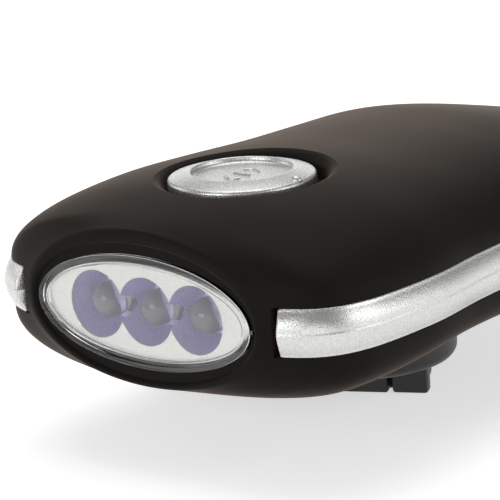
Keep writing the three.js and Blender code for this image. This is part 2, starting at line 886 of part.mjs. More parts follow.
// Switch under the button
const switchBottom = boardTop + seatGap;
const switchTop = switchBottom + switchHeight;
const plungerTop = stemBottom - seatGap;
const plungerBottom = switchTop - plungerSunk;
piece(
  "switch_body",
  solid(
    block(
      [-switchSide / 2, buttonY - switchSide / 2, switchBottom],
      [switchSide / 2, buttonY + switchSide / 2, switchTop],
    ),
  ).subtract(
    at(
      solid(
        rod(
          plungerRadius + runGap,
          plungerBottom - buttonTravel - runGap,
          switchTop + overrun,
          smallSteps,
        ),
      ),
      0,
      buttonY,
    ),
  ),
  finishes.blackGloss,
);
piece(
  "switch_plunger",
  at(solid(rod(plungerRadius, plungerBottom, plungerTop, smallSteps)), 0, buttonY),
  finishes.nylon,
);

// Circuit board and what stands on it
const boardHoles = join(
  [-1, 1].map((side) =>
    at(
      solid(
        rod(screwRadius + seatGap, boardBottom - overrun, boardTop + overrun, smallSteps),
      ),
      side * boardScrewX,
      boardScrewY,
    ),
  ),
);
piece(
  "main_board",
  solid(
    block([-boardHalfWidth, boardFrontY, boardBottom], [boardHalfWidth, boardBackY, boardTop]),
  ).subtract(boardHoles),
  finishes.board,
);
const partsY = (recessY + recessRadius + recessWall + boardBackY) / 2;
const partsBottom = boardTop + seatGap;
const [rectifierX, rectifierY, rectifierZ] = rectifierSize;
piece(
  "rectifier",
  at(
    solid(block([-rectifierX / 2, -rectifierY / 2, 0], [rectifierX / 2, rectifierY / 2, rectifierZ])),
    -boardHalfWidth * 0.4,
    partsY,
    partsBottom,
  ),
  finishes.blackGloss,
);
piece(
  "capacitor",
  at(
    solid(rod(capacitorRadius, partsBottom, partsBottom + capacitorHeight, smallSteps * 2)),
    0,
    partsY,
  ),
  finishes.blackGloss,
);
piece(
  "charge_resistor",
  at(
    solid(
      rod(resistorRadius, -resistorLength / 2, resistorLength / 2, smallSteps).rotateX(Math.PI / 2),
    ),
    -boardHalfWidth + 2 * resistorRadius,
    buttonY,
    partsBottom + resistorRadius,
  ),
  finishes.nylon,
);

// Cells, side by side across the torch, and a contact leaf at each end
for (let i = 0; i < cellCount; i += 1) {
  const cell = turned([
    [0, 0],
    [cellRadius, 0],
    [cellRadius, cellLength - cellRim],
    [cellRadius - cellRim, cellLength - cellRim],
    [cellRadius - cellRim, cellLength],
    [0, cellLength],
  ], innerSteps).rotateY(Math.PI / 2);
  const x = -stackHalf + i * (cellLength + seatGap);
  piece(`cell_${i + 1}`, at(solid(cell), x, cellY, cellZ), finishes.cell);
}
for (const [name, side] of [["negative", -1], ["positive", 1]]) {
  const near = side * (stackHalf + seatGap);
  const far = near + side * contactThickness;
  piece(
    `cell_contact_${name}`,
    solid(
      block(
        [Math.min(near, far), cellY - contactWidth / 2, cellZ - contactHeight / 2],
        [Math.max(near, far), cellY + contactWidth / 2, cellZ + contactHeight / 2],
      ),
    ),
    finishes.steel,
  );
}

// Screws, heads down unless flipped
function screw(length, flip) {
  const slot = block(
    [-screwHeadRadius * 2, -screwSlotWidth / 2, -overrun],
    [screwHeadRadius * 2, screwSlotWidth / 2, screwHeadHeight / 2],
  );
  const made = solid(
    turned(
      [
        [0, 0],
        [screwHeadRadius, 0],
        [screwHeadRadius, screwHeadHeight],
        [screwRadius, screwHeadHeight],
        [screwRadius, screwHeadHeight + length],
        [0, screwHeadHeight + length],
      ],
      smallSteps,
    ),
  ).subtract(solid(slot));
  return flip ? made.rotate([180, 0, 0]) : made;
}
const caseScrewZ = -counterboreRoof - seatGap - screwHeadHeight;
["front_left", "front_right", "rear_left", "rear_right"].forEach((name, i) => {
  const [x, y] = caseScrewPlaces[i];
  piece(`case_screw_${name}`, at(screw(caseScrewLength, false), x, y, caseScrewZ), finishes.steel);
});
for (const [name, side] of [["left", -1], ["right", 1]]) {
  const z = boardBottom - seatGap - screwHeadHeight;
  const made = screw(boardScrewLength - seatGap, false);
  piece(`board_screw_${name}`, at(made, side * boardScrewX, boardScrewY, z), finishes.steel);
}
["right", "left", "rear"].forEach((name, i) => {
  const [x, y] = postPlaces[i];
  const z = bridgeTop + seatGap + screwHeadHeight;
  piece(`bridge_screw_${name}`, at(screw(bridgeScrewLength, true), x, y, z), finishes.steel);
});

// Gear teeth

// Outline of a toothed wheel whose first tooth points at the angle phase.
function toothOutline(teeth, phase, fine) {
  const pitch = pitchRadius(teeth);
  const base = pitch * Math.cos(pressureAngle);
  const tip = pitch + addendumShare * gearModule;
  const root = pitch - dedendumShare * gearModule;
  const involute = (r) => {
    const a = Math.acos(Math.min(1, base / Math.max(r, base)));
    return Math.tan(a) - a;
  };
  const half = Math.PI / (2 * teeth) - (backlashShare * gearModule) / 2 / pitch;
  const flank = (r) => half + involute(pitch) - involute(r);
  const start = Math.max(root, base);
  const radii = fine ? [root, start, tip] : [root, tip];
  const points = [];
  for (let i = 0; i < teeth; i += 1) {
    const middle = phase + (2 * Math.PI * i) / teeth;
    for (const [rising, list] of [[-1, radii], [1, [...radii].reverse()]]) {
      for (const r of list) {
        const angle = middle + rising * flank(r);
        points.push([r * Math.cos(angle), r * Math.sin(angle)]);
      }
    }
  }
  return points.filter((p, i) => {
    const q = points[(i + 1) % points.length];
    return Math.hypot(p[0] - q[0], p[1] - q[1]) > gearModule / 100;
  });
}

// Phase of a pinion that is in mesh with a wheel whose first tooth is at wheelPhase.
function meshPhase(wheelPhase, teeth, stage) {
  const line = THREE.MathUtils.degToRad(stageBearings[stage]);
  const shift = ((wheelPhase - line) * teeth) / pinionTeeth;
  return line + Math.PI - shift + Math.PI / pinionTeeth;
}
const pinionPhases = [];
const wheelPhases = [0];
wheelTeeth.forEach((teeth, stage) => {
  pinionPhases.push(meshPhase(wheelPhases[stage], teeth, stage));
  wheelPhases.push(pinionPhases[stage]);
});

// A flat ring about Z.
const ringOf = (outer, inner, z0, z1, steps) =>
  solid(rod(outer, z0, z1, steps)).subtract(
    solid(rod(inner, z0 - overrun, z1 + overrun, steps)),
  );

// A big wheel with a thin web, from z up.
function bigWheel(stage, z) {
  const teeth = wheelTeeth[stage];
  const thickness = wheelThicknesses[stage];
  const rim = pitchRadius(teeth) - 3 * gearModule;
  const hub = axleRadius + runGap + hubWall + (stage === 0 ? washerRadius : 0);
  const web = ringOf(rim, hub, z + thickness - webDrop, z + thickness + overrun, innerSteps);
  return solid(raised(toothOutline(teeth, wheelPhases[stage], false), z, z + thickness)).subtract(
    web,
  );
}
const pinion = (stage, z0, z1) =>
  solid(raised(toothOutline(pinionTeeth, pinionPhases[stage], true), z0, z1));

// Crank gear, keyed on the flat of the crank's shaft and held by a washer and a screw
const shaftTop = wheelBottoms[0] + wheelThicknesses[0] - seatGap;
const keyed = (radius, z0, z1) =>
  solid(rod(radius, z0, z1)).subtract(
    solid(
      block(
        [shaftRadius - shaftFlat + (radius - shaftRadius), -2 * radius, z0 - overrun],
        [2 * radius, 2 * radius, z1 + overrun],
      ),
    ),
  );
piece(
  "crank_gear",
  at(
    bigWheel(0, wheelBottoms[0]).subtract(
      keyed(shaftRadius + seatGap, wheelBottoms[0] - overrun, wheelBottoms[1]).rotate([
        0,
        0,
        THREE.MathUtils.radToDeg(armAngle),
      ]),
    ),
    0,
    crankY,
  ),
  finishes.nylon,
);
const washerBottom = wheelBottoms[0] + wheelThicknesses[0] + seatGap;
const washer = turned([
  [screwRadius + seatGap, washerBottom],
  [washerRadius, washerBottom],
  [washerRadius, washerBottom + washerThickness],
  [screwRadius + seatGap, washerBottom + washerThickness],
  [screwRadius + seatGap, washerBottom],
], innerSteps);
piece("crank_washer", at(solid(washer), 0, crankY), finishes.steel);
const crankScrewTop = washerBottom + washerThickness + seatGap + screwHeadHeight;
piece(
  "crank_screw",
  at(screw(crankScrewLength, true), 0, crankY, crankScrewTop),
  finishes.steel,
);

// The two compound gears, each a pinion under a big wheel, and their axles
for (const stage of [0, 1]) {
  const low = wheelBottoms[stage] - pinionGrow;
  const high = wheelBottoms[stage + 1];
  const top = high + wheelThicknesses[stage + 1];
  const bore = solid(rod(axleRadius + runGap, low - overrun, top + overrun, smallSteps));
  const { x, y } = axles[stage + 1];
  const gear = pinion(stage, low, high + pinionGrow).add(bigWheel(stage + 1, high));
  piece(`compound_gear_${stage + 1}`, at(gear.subtract(bore), x, y), finishes.nylon);
  const axle = solid(rod(axleRadius, gearFloor - axleSunk, bridgeTop, smallSteps));
  piece(`axle_${stage + 1}`, at(axle, x, y), finishes.steel);
}

// Bridge plate over the gears, which carries the generator
function hullOutline(circles) {
  const points = circles.flatMap(([x, y, r]) =>
    Array.from({ length: roundSteps }, (_, i) => {
      const angle = (2 * Math.PI * i) / roundSteps;
      return [x + r * Math.cos(angle), y + r * Math.sin(angle)];
    }),
  );
  points.sort((a, b) => a[0] - b[0] || a[1] - b[1]);
  const turn = (a, b, c) => (b[0] - a[0]) * (c[1] - a[1]) - (b[1] - a[1]) * (c[0] - a[0]);
  const side = (list) => {
    const chain = [];
    for (const p of list) {
      while (chain.length > 1 && turn(chain.at(-2), chain.at(-1), p) <= 0) chain.pop();
      chain.push(p);
    }
    return chain.slice(0, -1);
  };
  return [...side(points), ...side([...points].reverse())];
}
const generatorAxis = axles[3];
const bridgeOutline = hullOutline([
  ...postPlaces.map(([x, y]) => [x, y, postRadius]),
  [generatorAxis.x, generatorAxis.y, statorRadius],
]);
const bridgeHoles = join([
  ...postPlaces.map(([x, y]) => at(pilot(bridgeThickness + overrun, bridgeBottom), x, y)),
  ...[1, 2].map((i) =>
    at(
      solid(
        rod(axleRadius + seatGap, bridgeBottom - overrun, bridgeTop + overrun, smallSteps),
      ),
      axles[i].x,
      axles[i].y,
    ),
  ),
  at(
    solid(
      rod(axleRadius + runGap, bridgeBottom - overrun, bridgeTop + overrun, smallSteps),
    ),
    generatorAxis.x,
    generatorAxis.y,
  ),
]);
piece(
  "gear_bridge",
  solid(raised(bridgeOutline, bridgeBottom, bridgeTop)).subtract(bridgeHoles),
  finishes.nylon,
);

// Generator: pinion, shaft and magnet turn inside two stator plates and a coil
const statorBottom = bridgeTop + seatGap;
const statorTop = crownAt(generatorAxis.y) - wall - statorRoof;
const magnetBottom = statorBottom + magnetInset;
const magnetTop = statorTop - magnetInset;
const pinionLow = wheelBottoms[2] - pinionGrow;
const pinionHigh = bridgeBottom - runGap;
const atGenerator = (made) => at(made, generatorAxis.x, generatorAxis.y);
const shaftHole = (z0, z1) => solid(rod(axleRadius + runGap, z0 - overrun, z1 + overrun, smallSteps));
piece(
  "rotor_pinion",
  atGenerator(
    pinion(2, pinionLow, pinionHigh).subtract(
      solid(rod(axleRadius + seatGap, pinionLow - overrun, pinionHigh + overrun, smallSteps)),
    ),
  ),
  finishes.nylon,
);
piece(
  "rotor_shaft",
  atGenerator(solid(rod(axleRadius, pinionLow, statorTop + seatGap, smallSteps))),
  finishes.steel,
);
piece(
  "magnet_rotor",
  atGenerator(
    ringOf(
      magnetRadius,
      axleRadius + seatGap,
      magnetBottom,
      magnetTop,
      innerSteps,
    ),
  ),
  finishes.magnet,
);

// One stator plate with its ring of pole fingers, turned by half a pitch for the upper one.
function poles(z0, z1, turn) {
  const width = 2 * Math.PI * poleRadius * poleShare / poleCount;
  const finger = block([poleRadius, -width / 2, z0], [poleRadius + poleThickness, width / 2, z1]);
  return join(
    Array.from({ length: poleCount }, (_, i) =>
      solid(finger.clone().rotateZ(((i + turn) * 2 * Math.PI) / poleCount)),
    ),
  );
}
const coilInner = poleRadius + 2 * poleThickness + seatGap;
const cup0 = solid(rod(statorRadius, statorBottom, statorTop - statorWall - seatGap, roundSteps));
const cupHollow = solid(
  rod(statorRadius - statorWall, statorBottom + statorWall, statorTop + overrun, roundSteps),
);
piece(
  "stator_cup",
  atGenerator(
    cup0
      .subtract(cupHollow)
      .add(poles(statorBottom + statorWall / 2, statorTop - statorWall - poleShortfall, 0))
      .subtract(shaftHole(statorBottom, statorBottom + statorWall)),
  ),
  finishes.steel,
);
const statorPlate = solid(rod(statorRadius, statorTop - statorWall, statorTop, roundSteps));
piece(
  "stator_plate",
  atGenerator(
    statorPlate
      .add(poles(statorBottom + statorWall + poleShortfall, statorTop - statorWall / 2, 1 / 2))
      .subtract(shaftHole(statorTop - statorWall, statorTop)),
  ),
  finishes.steel,
);
const coilOuter = statorRadius - statorWall - seatGap;
const coilBottom = statorBottom + statorWall + seatGap;
const coilTop = statorTop - statorWall - seatGap;
const spool = ringOf(coilOuter, coilInner, coilBottom, coilTop, innerSteps);
const spoolCut = ringOf(
  coilOuter + overrun,
  coilInner + bobbinWall,
  coilBottom + bobbinWall,
  coilTop - bobbinWall,
  innerSteps,
);
piece("coil_bobbin", atGenerator(spool.subtract(spoolCut)), finishes.nylon);
piece(
  "coil_winding",
  atGenerator(
    ringOf(
      coilOuter - windingInset,
      coilInner + bobbinWall + seatGap,
      coilBottom + bobbinWall + seatGap,
      coilTop - bobbinWall - seatGap,
      innerSteps,
    ),
  ),
  finishes.copper,
);

// Crank. It is modelled about the shaft with the folded arm along +X, then turned into place.
const rotorTop = -keelAt(crankY) - rotorGap;
const rotorBottom = rotorTop - rotorHeight;
const hingeZ = rotorBottom - seatGap - armThickness / 2;
const armTop = hingeZ + armThickness / 2;
const armBottom = hingeZ - armThickness / 2;
const turnedCrank = (made) =>
  at(made.rotate([0, 0, THREE.MathUtils.radToDeg(armAngle)]), 0, crankY);
const edgeSteps = 4;
const rotorProfile = Array.from({ length: edgeSteps + 1 }, (_, i) => {
  const angle = (Math.PI / 2) * (i / edgeSteps);
  return [
    rotorRadius - rotorEdge * (1 - Math.sin(angle)),
    rotorBottom + rotorEdge * (1 - Math.cos(angle)),
  ];
});
const puck = solid(
  turned([[0, rotorBottom], ...rotorProfile, [rotorRadius, rotorTop], [0, rotorTop]], fineSteps),
);
const shaft = solid(rod(shaftRadius, rotorTop - overrun, bearingTop)).add(
  keyed(shaftRadius, bearingTop - seatGap, shaftTop),
);
const shaftPilot = solid(
  rod(
    screwRadius + seatGap,
    crankScrewTop - screwHeadHeight - crankScrewLength - seatGap,
    shaftTop + overrun,
    smallSteps,
  ),
);

// Lug that hangs from the rotor on one side of the arm's tongue, and the pin through both
const lugOuter = armWidth / 2;
const lugInner = lugOuter - lugThickness;
const lugFront = -hingeOffset + lugLength / 2;
const lugBack = -hingeOffset - lugLength / 2;
const tongueNear = lugInner - runGap;
const tongueFar = tongueNear - tongueWidth;

// An outline in the plane of X and Z, made solid from y0 to y1.
const sideways = (outline, y0, y1) => solid(raised(outline, -y1, -y0).rotateX(Math.PI / 2));

// A cylinder along Y from y0 to y1, on the hinge.
const hingeRod = (radius, y0, y1) =>
  at(solid(rod(radius, -y1, -y0, smallSteps).rotateX(Math.PI / 2)), -hingeOffset, 0, hingeZ);
const lug = sideways(
  [
    [lugFront, rotorBottom + overrun],
    [lugFront, armBottom + lugEdge],
    [lugFront - lugEdge, armBottom],
    [lugBack + lugEdge, armBottom],
    [lugBack, armBottom + lugEdge],
    [lugBack, rotorBottom + overrun],
  ],
  lugInner,
  lugOuter,
);
piece(
  "crank_rotor",
  turnedCrank(
    puck
      .add(shaft)
      .add(lug)
      .subtract(hingeRod(hingePinRadius + seatGap, lugInner - overrun, lugOuter - lugSkin))
      .subtract(shaftPilot),
  ),
  finishes.black,
);
const pinHeadNear = tongueFar - seatGap;
piece(
  "hinge_pin",
  turnedCrank(
    hingeRod(hingePinRadius, pinHeadNear - hingePinHeadHeight, lugOuter - lugSkin - seatGap).add(
      hingeRod(hingePinHead, pinHeadNear - hingePinHeadHeight, pinHeadNear),
    ),
  ),
  finishes.steel,
);

// Crank arm: a bar with round end, grooved below, with a tongue beside the lug
const knobX = armReach - hingeOffset;
const armStart = lugFront + shoulderGap;
const bar = solid(
  block([armStart, -armWidth / 2, armBottom], [knobX, armWidth / 2, armTop]),
).add(at(solid(rod(armWidth / 2, armBottom, armTop, fineSteps)), knobX, 0));
const armGroove = solid(
  block(
    [armStart + 2 * wall, -armGrooveWidth / 2, armBottom - overrun],
    [knobX - armWidth / 2, armGrooveWidth / 2, armBottom + armRib],
  ),
);
const tongue = hingeRod(armThickness / 2, tongueFar, tongueNear).add(
  solid(block([-hingeOffset, tongueFar, armBottom], [armStart + overrun, tongueNear, armTop])),
);
const knobPinHole = at(
  solid(rod(knobPinRadius + seatGap, armBottom - overrun, armTop + overrun, smallSteps)),
  knobX,
  0,
);
const knobHeadHole = at(
  solid(
    rod(knobPinHead + seatGap, armBottom - overrun, armBottom + knobPinHeadHeight + seatGap, smallSteps),
  ),
  knobX,
  0,
);
piece(
  "crank_arm",
  turnedCrank(
    bar
      .subtract(armGroove)
      .add(tongue)
      .subtract(hingeRod(hingePinRadius + seatGap, tongueFar - overrun, tongueNear + overrun))
      .subtract(knobPinHole)
      .subtract(knobHeadHole),
  ),
  finishes.black,
);

// Knob, on top of the folded arm, and the pin that it turns on
const knobBottom = armTop + seatGap;
const knobTop = knobBottom + knobHeight;
const knobSteps = 6;
const knobSide = Array.from({ length: knobSteps + 1 }, (_, i) => {
  const share = i / knobSteps;
  const waist = knobWaist * Math.sin(Math.PI * share) ** 2;
  return [knobRadius - waist, knobBottom + knobHeight * share];
});
const knobBore = knobPinRadius + runGap;
const knobCapDepth = knobPinHeadHeight + seatGap;
piece(
  "crank_knob",
  turnedCrank(
    at(
      solid(
        turned([
          [knobBore, knobBottom],
          ...knobSide,
          [knobPinHead + runGap, knobTop],
          [knobPinHead + runGap, knobTop - knobCapDepth],
          [knobBore, knobTop - knobCapDepth],
          [knobBore, knobBottom],
        ]),
      ),
      knobX,
      0,
    ),
  ),
  finishes.black,
);
const knobPin = turned(
  [
    [0, armBottom],
    [knobPinHead, armBottom],
    [knobPinHead, armBottom + knobPinHeadHeight],
    [knobPinRadius, armBottom + knobPinHeadHeight],
    [knobPinRadius, knobTop - knobPinHeadHeight],
    [knobPinHead, knobTop - knobPinHeadHeight],
    [knobPinHead, knobTop],
    [0, knobTop],
  ],
  smallSteps,
);
piece("knob_pin", turnedCrank(at(solid(knobPin), knobX, 0)), finishes.steel);

// Leads between the boards and from the coil
function lead(name, places, material) {
  const path = new THREE.CatmullRomCurve3(places.map((p) => new THREE.Vector3(...p)));
  const section = new THREE.Shape().absarc(0, 0, leadRadius, 0, 2 * Math.PI);
  const geometry = new THREE.ExtrudeGeometry(section, {
    steps: leadSteps,
    curveSegments: 4,
    extrudePath: path,
    bevelEnabled: false,
  });
  piece(name, solid(geometry), material);
}
const leadZ = lensRise + lampBoardHalfHeight - leadRadius;
for (const [name, side, material] of [["red", 1, finishes.red], ["black", -1, finishes.black]]) {
  const x = side * (lampBoardHalfWidth - 2 * leadRadius);
  const startY = lampBoardBack + seatGap;
  const endY = boardFrontY + 4 * leadRadius;
  const endZ = boardTop + seatGap + leadRadius;
  lead(
    `lamp_lead_${name}`,
    [
      [x, startY, leadZ],
      [x, startY + 2 * leadRadius, endZ + leadRadius],
      [x, endY, endZ + leadRadius],
      [x, endY + 4 * leadRadius, endZ],
    ],
    material,
  );
}
for (const [name, side] of [["front", -1], ["rear", 1]]) {
  const x = generatorAxis.x + side * 3 * leadRadius;
  const startY = generatorAxis.y - statorRadius - seatGap;
  const endZ = boardTop + seatGap + leadRadius;
  lead(
    `coil_lead_${name}`,
    [
      [x, startY, endZ + leadRadius],
      [x, (startY + boardBackY) / 2, endZ + 2 * leadRadius],
      [x, boardBackY - leadRadius, endZ + leadRadius],
      [x, boardBackY - 4 * leadRadius, endZ],
    ],
    finishes.copper,
  );
}

// The origin is the middle of the base.
group.position.set(0, -bodyLength / 2, -armBottom);

export default group;
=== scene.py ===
# %% [markdown]
# A small wind-up torch in Blender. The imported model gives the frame: every moving body and every
# solid at its real size. This lesson dresses it, piece by piece, with fine meshes and materials.
# Loading the frame comes first, because all later cells place their work by it.

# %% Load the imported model
import json
import math

import bmesh
import bpy
import numpy as np
from mathutils import Matrix, Vector


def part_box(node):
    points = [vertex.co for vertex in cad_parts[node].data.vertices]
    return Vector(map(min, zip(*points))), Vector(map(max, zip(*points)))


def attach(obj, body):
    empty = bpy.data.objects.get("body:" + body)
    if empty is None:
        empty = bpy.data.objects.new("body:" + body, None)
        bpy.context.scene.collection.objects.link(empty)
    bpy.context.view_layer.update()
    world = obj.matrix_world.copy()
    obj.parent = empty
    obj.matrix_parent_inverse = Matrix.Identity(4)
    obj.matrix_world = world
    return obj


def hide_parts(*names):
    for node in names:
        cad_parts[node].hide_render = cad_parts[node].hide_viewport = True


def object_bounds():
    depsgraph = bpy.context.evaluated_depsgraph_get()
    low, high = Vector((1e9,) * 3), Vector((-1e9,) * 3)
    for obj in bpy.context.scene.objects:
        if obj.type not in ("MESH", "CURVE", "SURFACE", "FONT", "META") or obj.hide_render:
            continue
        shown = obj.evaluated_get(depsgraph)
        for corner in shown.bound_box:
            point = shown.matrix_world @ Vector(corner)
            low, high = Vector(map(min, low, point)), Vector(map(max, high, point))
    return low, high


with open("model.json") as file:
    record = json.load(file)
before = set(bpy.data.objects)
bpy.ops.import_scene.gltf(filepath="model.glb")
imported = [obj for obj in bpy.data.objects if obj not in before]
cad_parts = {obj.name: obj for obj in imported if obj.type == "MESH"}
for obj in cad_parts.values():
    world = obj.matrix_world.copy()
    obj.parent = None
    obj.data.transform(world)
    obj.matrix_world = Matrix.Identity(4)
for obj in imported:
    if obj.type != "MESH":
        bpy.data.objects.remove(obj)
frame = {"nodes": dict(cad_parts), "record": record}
cad_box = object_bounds()
MM = 0.001

# %% [markdown]
# A designer of this torch measures from the front face and from the parting plane of the two
# housings. The same is easiest here, in millimetres: X across, Y towards the tail and Z up from
# the parting plane. One helper moves such points to Blender's metres. The two places come from
# the solids themselves, so nothing has to be fitted by hand.

# %% The working frame in millimetres
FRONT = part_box("lower_housing")[0].y / MM
PARTING = (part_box("trim_right_upper")[0].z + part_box("trim_right_lower")[1].z) / 2 / MM


def to_metres(points):
    """Points in the working frame, as metres in the frame of the model."""
    return (np.asarray(points, float) + (0, FRONT, PARTING)) * MM


print(f"front face at {FRONT:.1f} mm, parting plane at {PARTING:.2f} mm")

# %% [markdown]
# The camera comes early, because it decides what has to be fine. It looks at the torch from the
# front right and a little above, with a long lens, rolled slightly, as a product photographer
# would hold it to fill the picture.

# %% Camera
AZIMUTH, ELEVATION, ROLL = (math.radians(a) for a in (40.19, 14.97, 3.61))
FOCAL_LENGTH = 217.1  # on Blender's sensor of 36 mm
LENS_TO_CAMERA = 408.06
AIM_RIGHT, AIM_UP = 14.80, 8.54  # what the middle of the picture shows, beside the lens centre


def add(name, data):
    """Puts an object with these data in the scene."""
    made = bpy.data.objects.new(name, data)
    bpy.context.scene.collection.objects.link(made)
    return made


level_right = Vector((math.cos(AZIMUTH), math.sin(AZIMUTH), 0))
forward = Vector((-math.sin(AZIMUTH), math.cos(AZIMUTH), 0)) * math.cos(ELEVATION)
forward.z = -math.sin(ELEVATION)
level_up = level_right.cross(forward)
right = level_right * math.cos(ROLL) - level_up * math.sin(ROLL)
up = level_right * math.sin(ROLL) + level_up * math.cos(ROLL)
eye = right * AIM_RIGHT + up * AIM_UP - forward * LENS_TO_CAMERA

camera = add("camera", bpy.data.cameras.new("camera"))
camera.data.lens = FOCAL_LENGTH
camera.data.clip_end = 20  # metres, past the edge of the floor
pose = Matrix((right, up, -forward)).transposed().to_4x4()
pose.translation = Vector(to_metres(eye))
camera.matrix_world = pose
bpy.context.scene.camera = camera
print("camera at", [round(v, 3) for v in pose.translation])

# %% [markdown]
# The housings are one pebble-like form. Its half width, the height of its crown and the depth of
# its keel are smooth curves along the length, and each cross-section is a superellipse over an
# upright band that carries the trim. A few listed shares per curve are enough, and a cubic
# curve runs through them. The same few numbers drive the solids, so both fit.

# %% The body's sizes along its length
LENGTH = 109.0
HALF_WIDTH = 31.8
CROWN = 15.0
KEEL = 12.2
BAND = 3.35
NOSE_BAND = 0.5
BAND_BLEND = 0.04  # share of the length over which the band reaches its full height
CREASE = 0.45  # rounding where the sides meet the front face
TAIL_START = 0.66  # share of the length
TAIL_POWERS = {"width": 2.4, "height": 1.8}
STATION_SHARES = np.array(
    [0, 0.028, 0.055, 0.092, 0.13, 0.185, 0.24, 0.33, 0.44, 0.57, 0.7, 0.85, 1]
)
WIDTH_SHARES = np.array(
    [0.647, 0.83, 0.92, 0.97, 0.99, 1, 0.997, 0.963, 0.95, 0.968, 0.997, 1, 1]
)
CROWN_SHARES = np.array(
    [0.76, 0.815, 0.86, 0.913, 0.953, 0.987, 1, 0.985, 0.94, 0.9, 0.845, 0.71, 0.6]
)
KEEL_SHARES = np.array(
    [0.86, 0.926, 0.975, 1, 1, 0.975, 0.934, 0.902, 0.906, 0.918, 0.926, 0.907, 0.869]
)
# By side: full height, its shares, the powers of the section and the share that blends them in.
HALVES = {
    1: (CROWN, CROWN_SHARES, (2.25, 2.0), 0.14),
    -1: (KEEL, KEEL_SHARES, (3.3, 3.0), 0.09),
}
print("stations:", len(STATION_SHARES), "over", LENGTH, "mm")

# %% Smooth curves through the shares
def follow(values, share):
    """A smooth curve through the values at the stations."""
    xs = STATION_SHARES
    slopes = np.zeros_like(values)
    slopes[1:-1] = (values[2:] - values[:-2]) / (xs[2:] - xs[:-2])
    slopes[0] = (values[1] - values[0]) / (xs[1] - xs[0])
    i = np.clip(np.searchsorted(xs, share, side="right") - 1, 0, len(xs) - 2)
    span = xs[i + 1] - xs[i]
    u = (share - xs[i]) / span
    start = (1 + 2 * u) * (1 - u) ** 2 * values[i] + u * (1 - u) ** 2 * span * slopes[i]
    return start + u * u * (3 - 2 * u) * values[i + 1] + u * u * (u - 1) * span * slopes[i + 1]


def ease(value):
    value = np.clip(value, 0, 1)
    return value * value * (3 - 2 * value)


def closing(share, power):
    """Goes from 1 to 0 over the tail."""
    u = np.clip((share - TAIL_START) / (1 - TAIL_START), 0, 1)
    return np.clip(1 - u**power, 0, 1) ** (1 / power)


def crease(y):
    """How far the outline draws in at the edge of the front face."""
    near = np.clip(1 - y / CREASE, 0, 1)
    return CREASE * (1 - np.sqrt(1 - near**2))


print("tail starts at", round(TAIL_START * LENGTH, 1), "mm")

# %% The outline at any place
def half_width(y):
    share = y / LENGTH
    full = HALF_WIDTH * follow(WIDTH_SHARES, share)
    return full * closing(share, TAIL_POWERS["width"]) - crease(y)


def band(y):
    return NOSE_BAND + (BAND - NOSE_BAND) * ease(y / LENGTH / BAND_BLEND)


def height(y, side):
    """Height of the crown (side 1) or depth of the keel (side -1)."""
    full, shares, _, _ = HALVES[side]
    rise = full * follow(shares, y / LENGTH) - band(y)
    return band(y) + rise * closing(y / LENGTH, TAIL_POWERS["height"]) - crease(y)


def powers(y, side):
    """Exponents of the section, from an oval at the nose to the full section."""
    _, _, full, blend_share = HALVES[side]
    blend = ease(y / LENGTH / blend_share)
    return [2 + (power - 2) * blend for power in full]


def crown_over(x, y):
    """Height of the upper housing above a place on the parting plane."""
    across, upward = powers(y, 1)
    share = np.clip(np.abs(x) / half_width(y), 0, 1)
    return band(y) + (height(y, 1) - band(y)) * (1 - share**across) ** (1 / upward)


def side_at(y, z):
    """Half width of the body at a height above or below the parting plane."""
    side = 1 if z >= 0 else -1
    across, upward = powers(y, side)
    share = np.clip((abs(z) - band(y)) / (height(y, side) - band(y)), 0, 1)
    return half_width(y) * (1 - share**upward) ** (1 / across)


print("half width at the waist:", round(float(half_width(46.0)), 1), "mm")

# %% [markdown]
# A few helpers make and cut meshes. A loft joins rings of points, which suits moulded forms, and a
# turned solid is a loft of circles. A boolean modifier, applied at once, cuts pockets with clean
# edges. And since a moulded surface should shade as one smooth skin, only edges sharper than a
# given angle are marked as sharp.

# %% Meshes from points and rings
def mesh_piece(name, points, faces):
    """A closed mesh from points in the working frame, with its faces turned outwards."""
    mesh = bpy.data.meshes.new(name)
    corners = [tuple(p) for p in to_metres(points)]
    mesh.from_pydata(corners, [], [tuple(int(i) for i in f) for f in faces])
    bm = bmesh.new()
    bm.from_mesh(mesh)
    bmesh.ops.remove_doubles(bm, verts=bm.verts, dist=1e-7)
    bmesh.ops.recalc_face_normals(bm, faces=bm.faces)
    bm.to_mesh(mesh)
    bm.free()
    return add(name, mesh)


def loft(name, rings, closed=False):
    """A solid through rings of points. The ends are capped, or the last ring meets the first."""
    rings = np.asarray(rings, float)
    count, size, _ = rings.shape
    points = list(rings.reshape(-1, 3))
    faces = []
    for i in range(count if closed else count - 1):
        a, b = i * size, ((i + 1) % count) * size
        faces += [
            (a + j, a + (j + 1) % size, b + (j + 1) % size, b + j) for j in range(size)
        ]
    if not closed:
        for start in (0, (count - 1) * size):
            points.append(rings[start // size].mean(0))
            middle = len(points) - 1
            faces += [(start + j, start + (j + 1) % size, middle) for j in range(size)]
    return mesh_piece(name, points, faces)


print("helpers for meshes:", mesh_piece.__name__, loft.__name__)

# %% Cutting, shading and rounding
def carve(piece, cutter, operation="DIFFERENCE"):
    """Cuts piece with another mesh, or joins them, and removes the other mesh."""
    modifier = piece.modifiers.new("cut", "BOOLEAN")
    modifier.object = cutter
    modifier.operation = operation
    modifier.solver = "MANIFOLD"
    bpy.context.view_layer.update()
    graph = bpy.context.evaluated_depsgraph_get()
    made = bpy.data.meshes.new_from_object(piece.evaluated_get(graph))
    piece.modifiers.clear()
    piece.data = made
    bpy.data.objects.remove(cutter)


def smooth(piece, degrees=35.0):
    """Smooth shading that breaks at edges sharper than the angle."""
    bm = bmesh.new()
    bm.from_mesh(piece.data)
    for face in bm.faces:
        face.smooth = True
    limit = math.radians(degrees)
    for edge in bm.edges:
        edge.smooth = len(edge.link_faces) == 2 and edge.calc_face_angle(0) < limit
    bm.to_mesh(piece.data)
    bm.free()


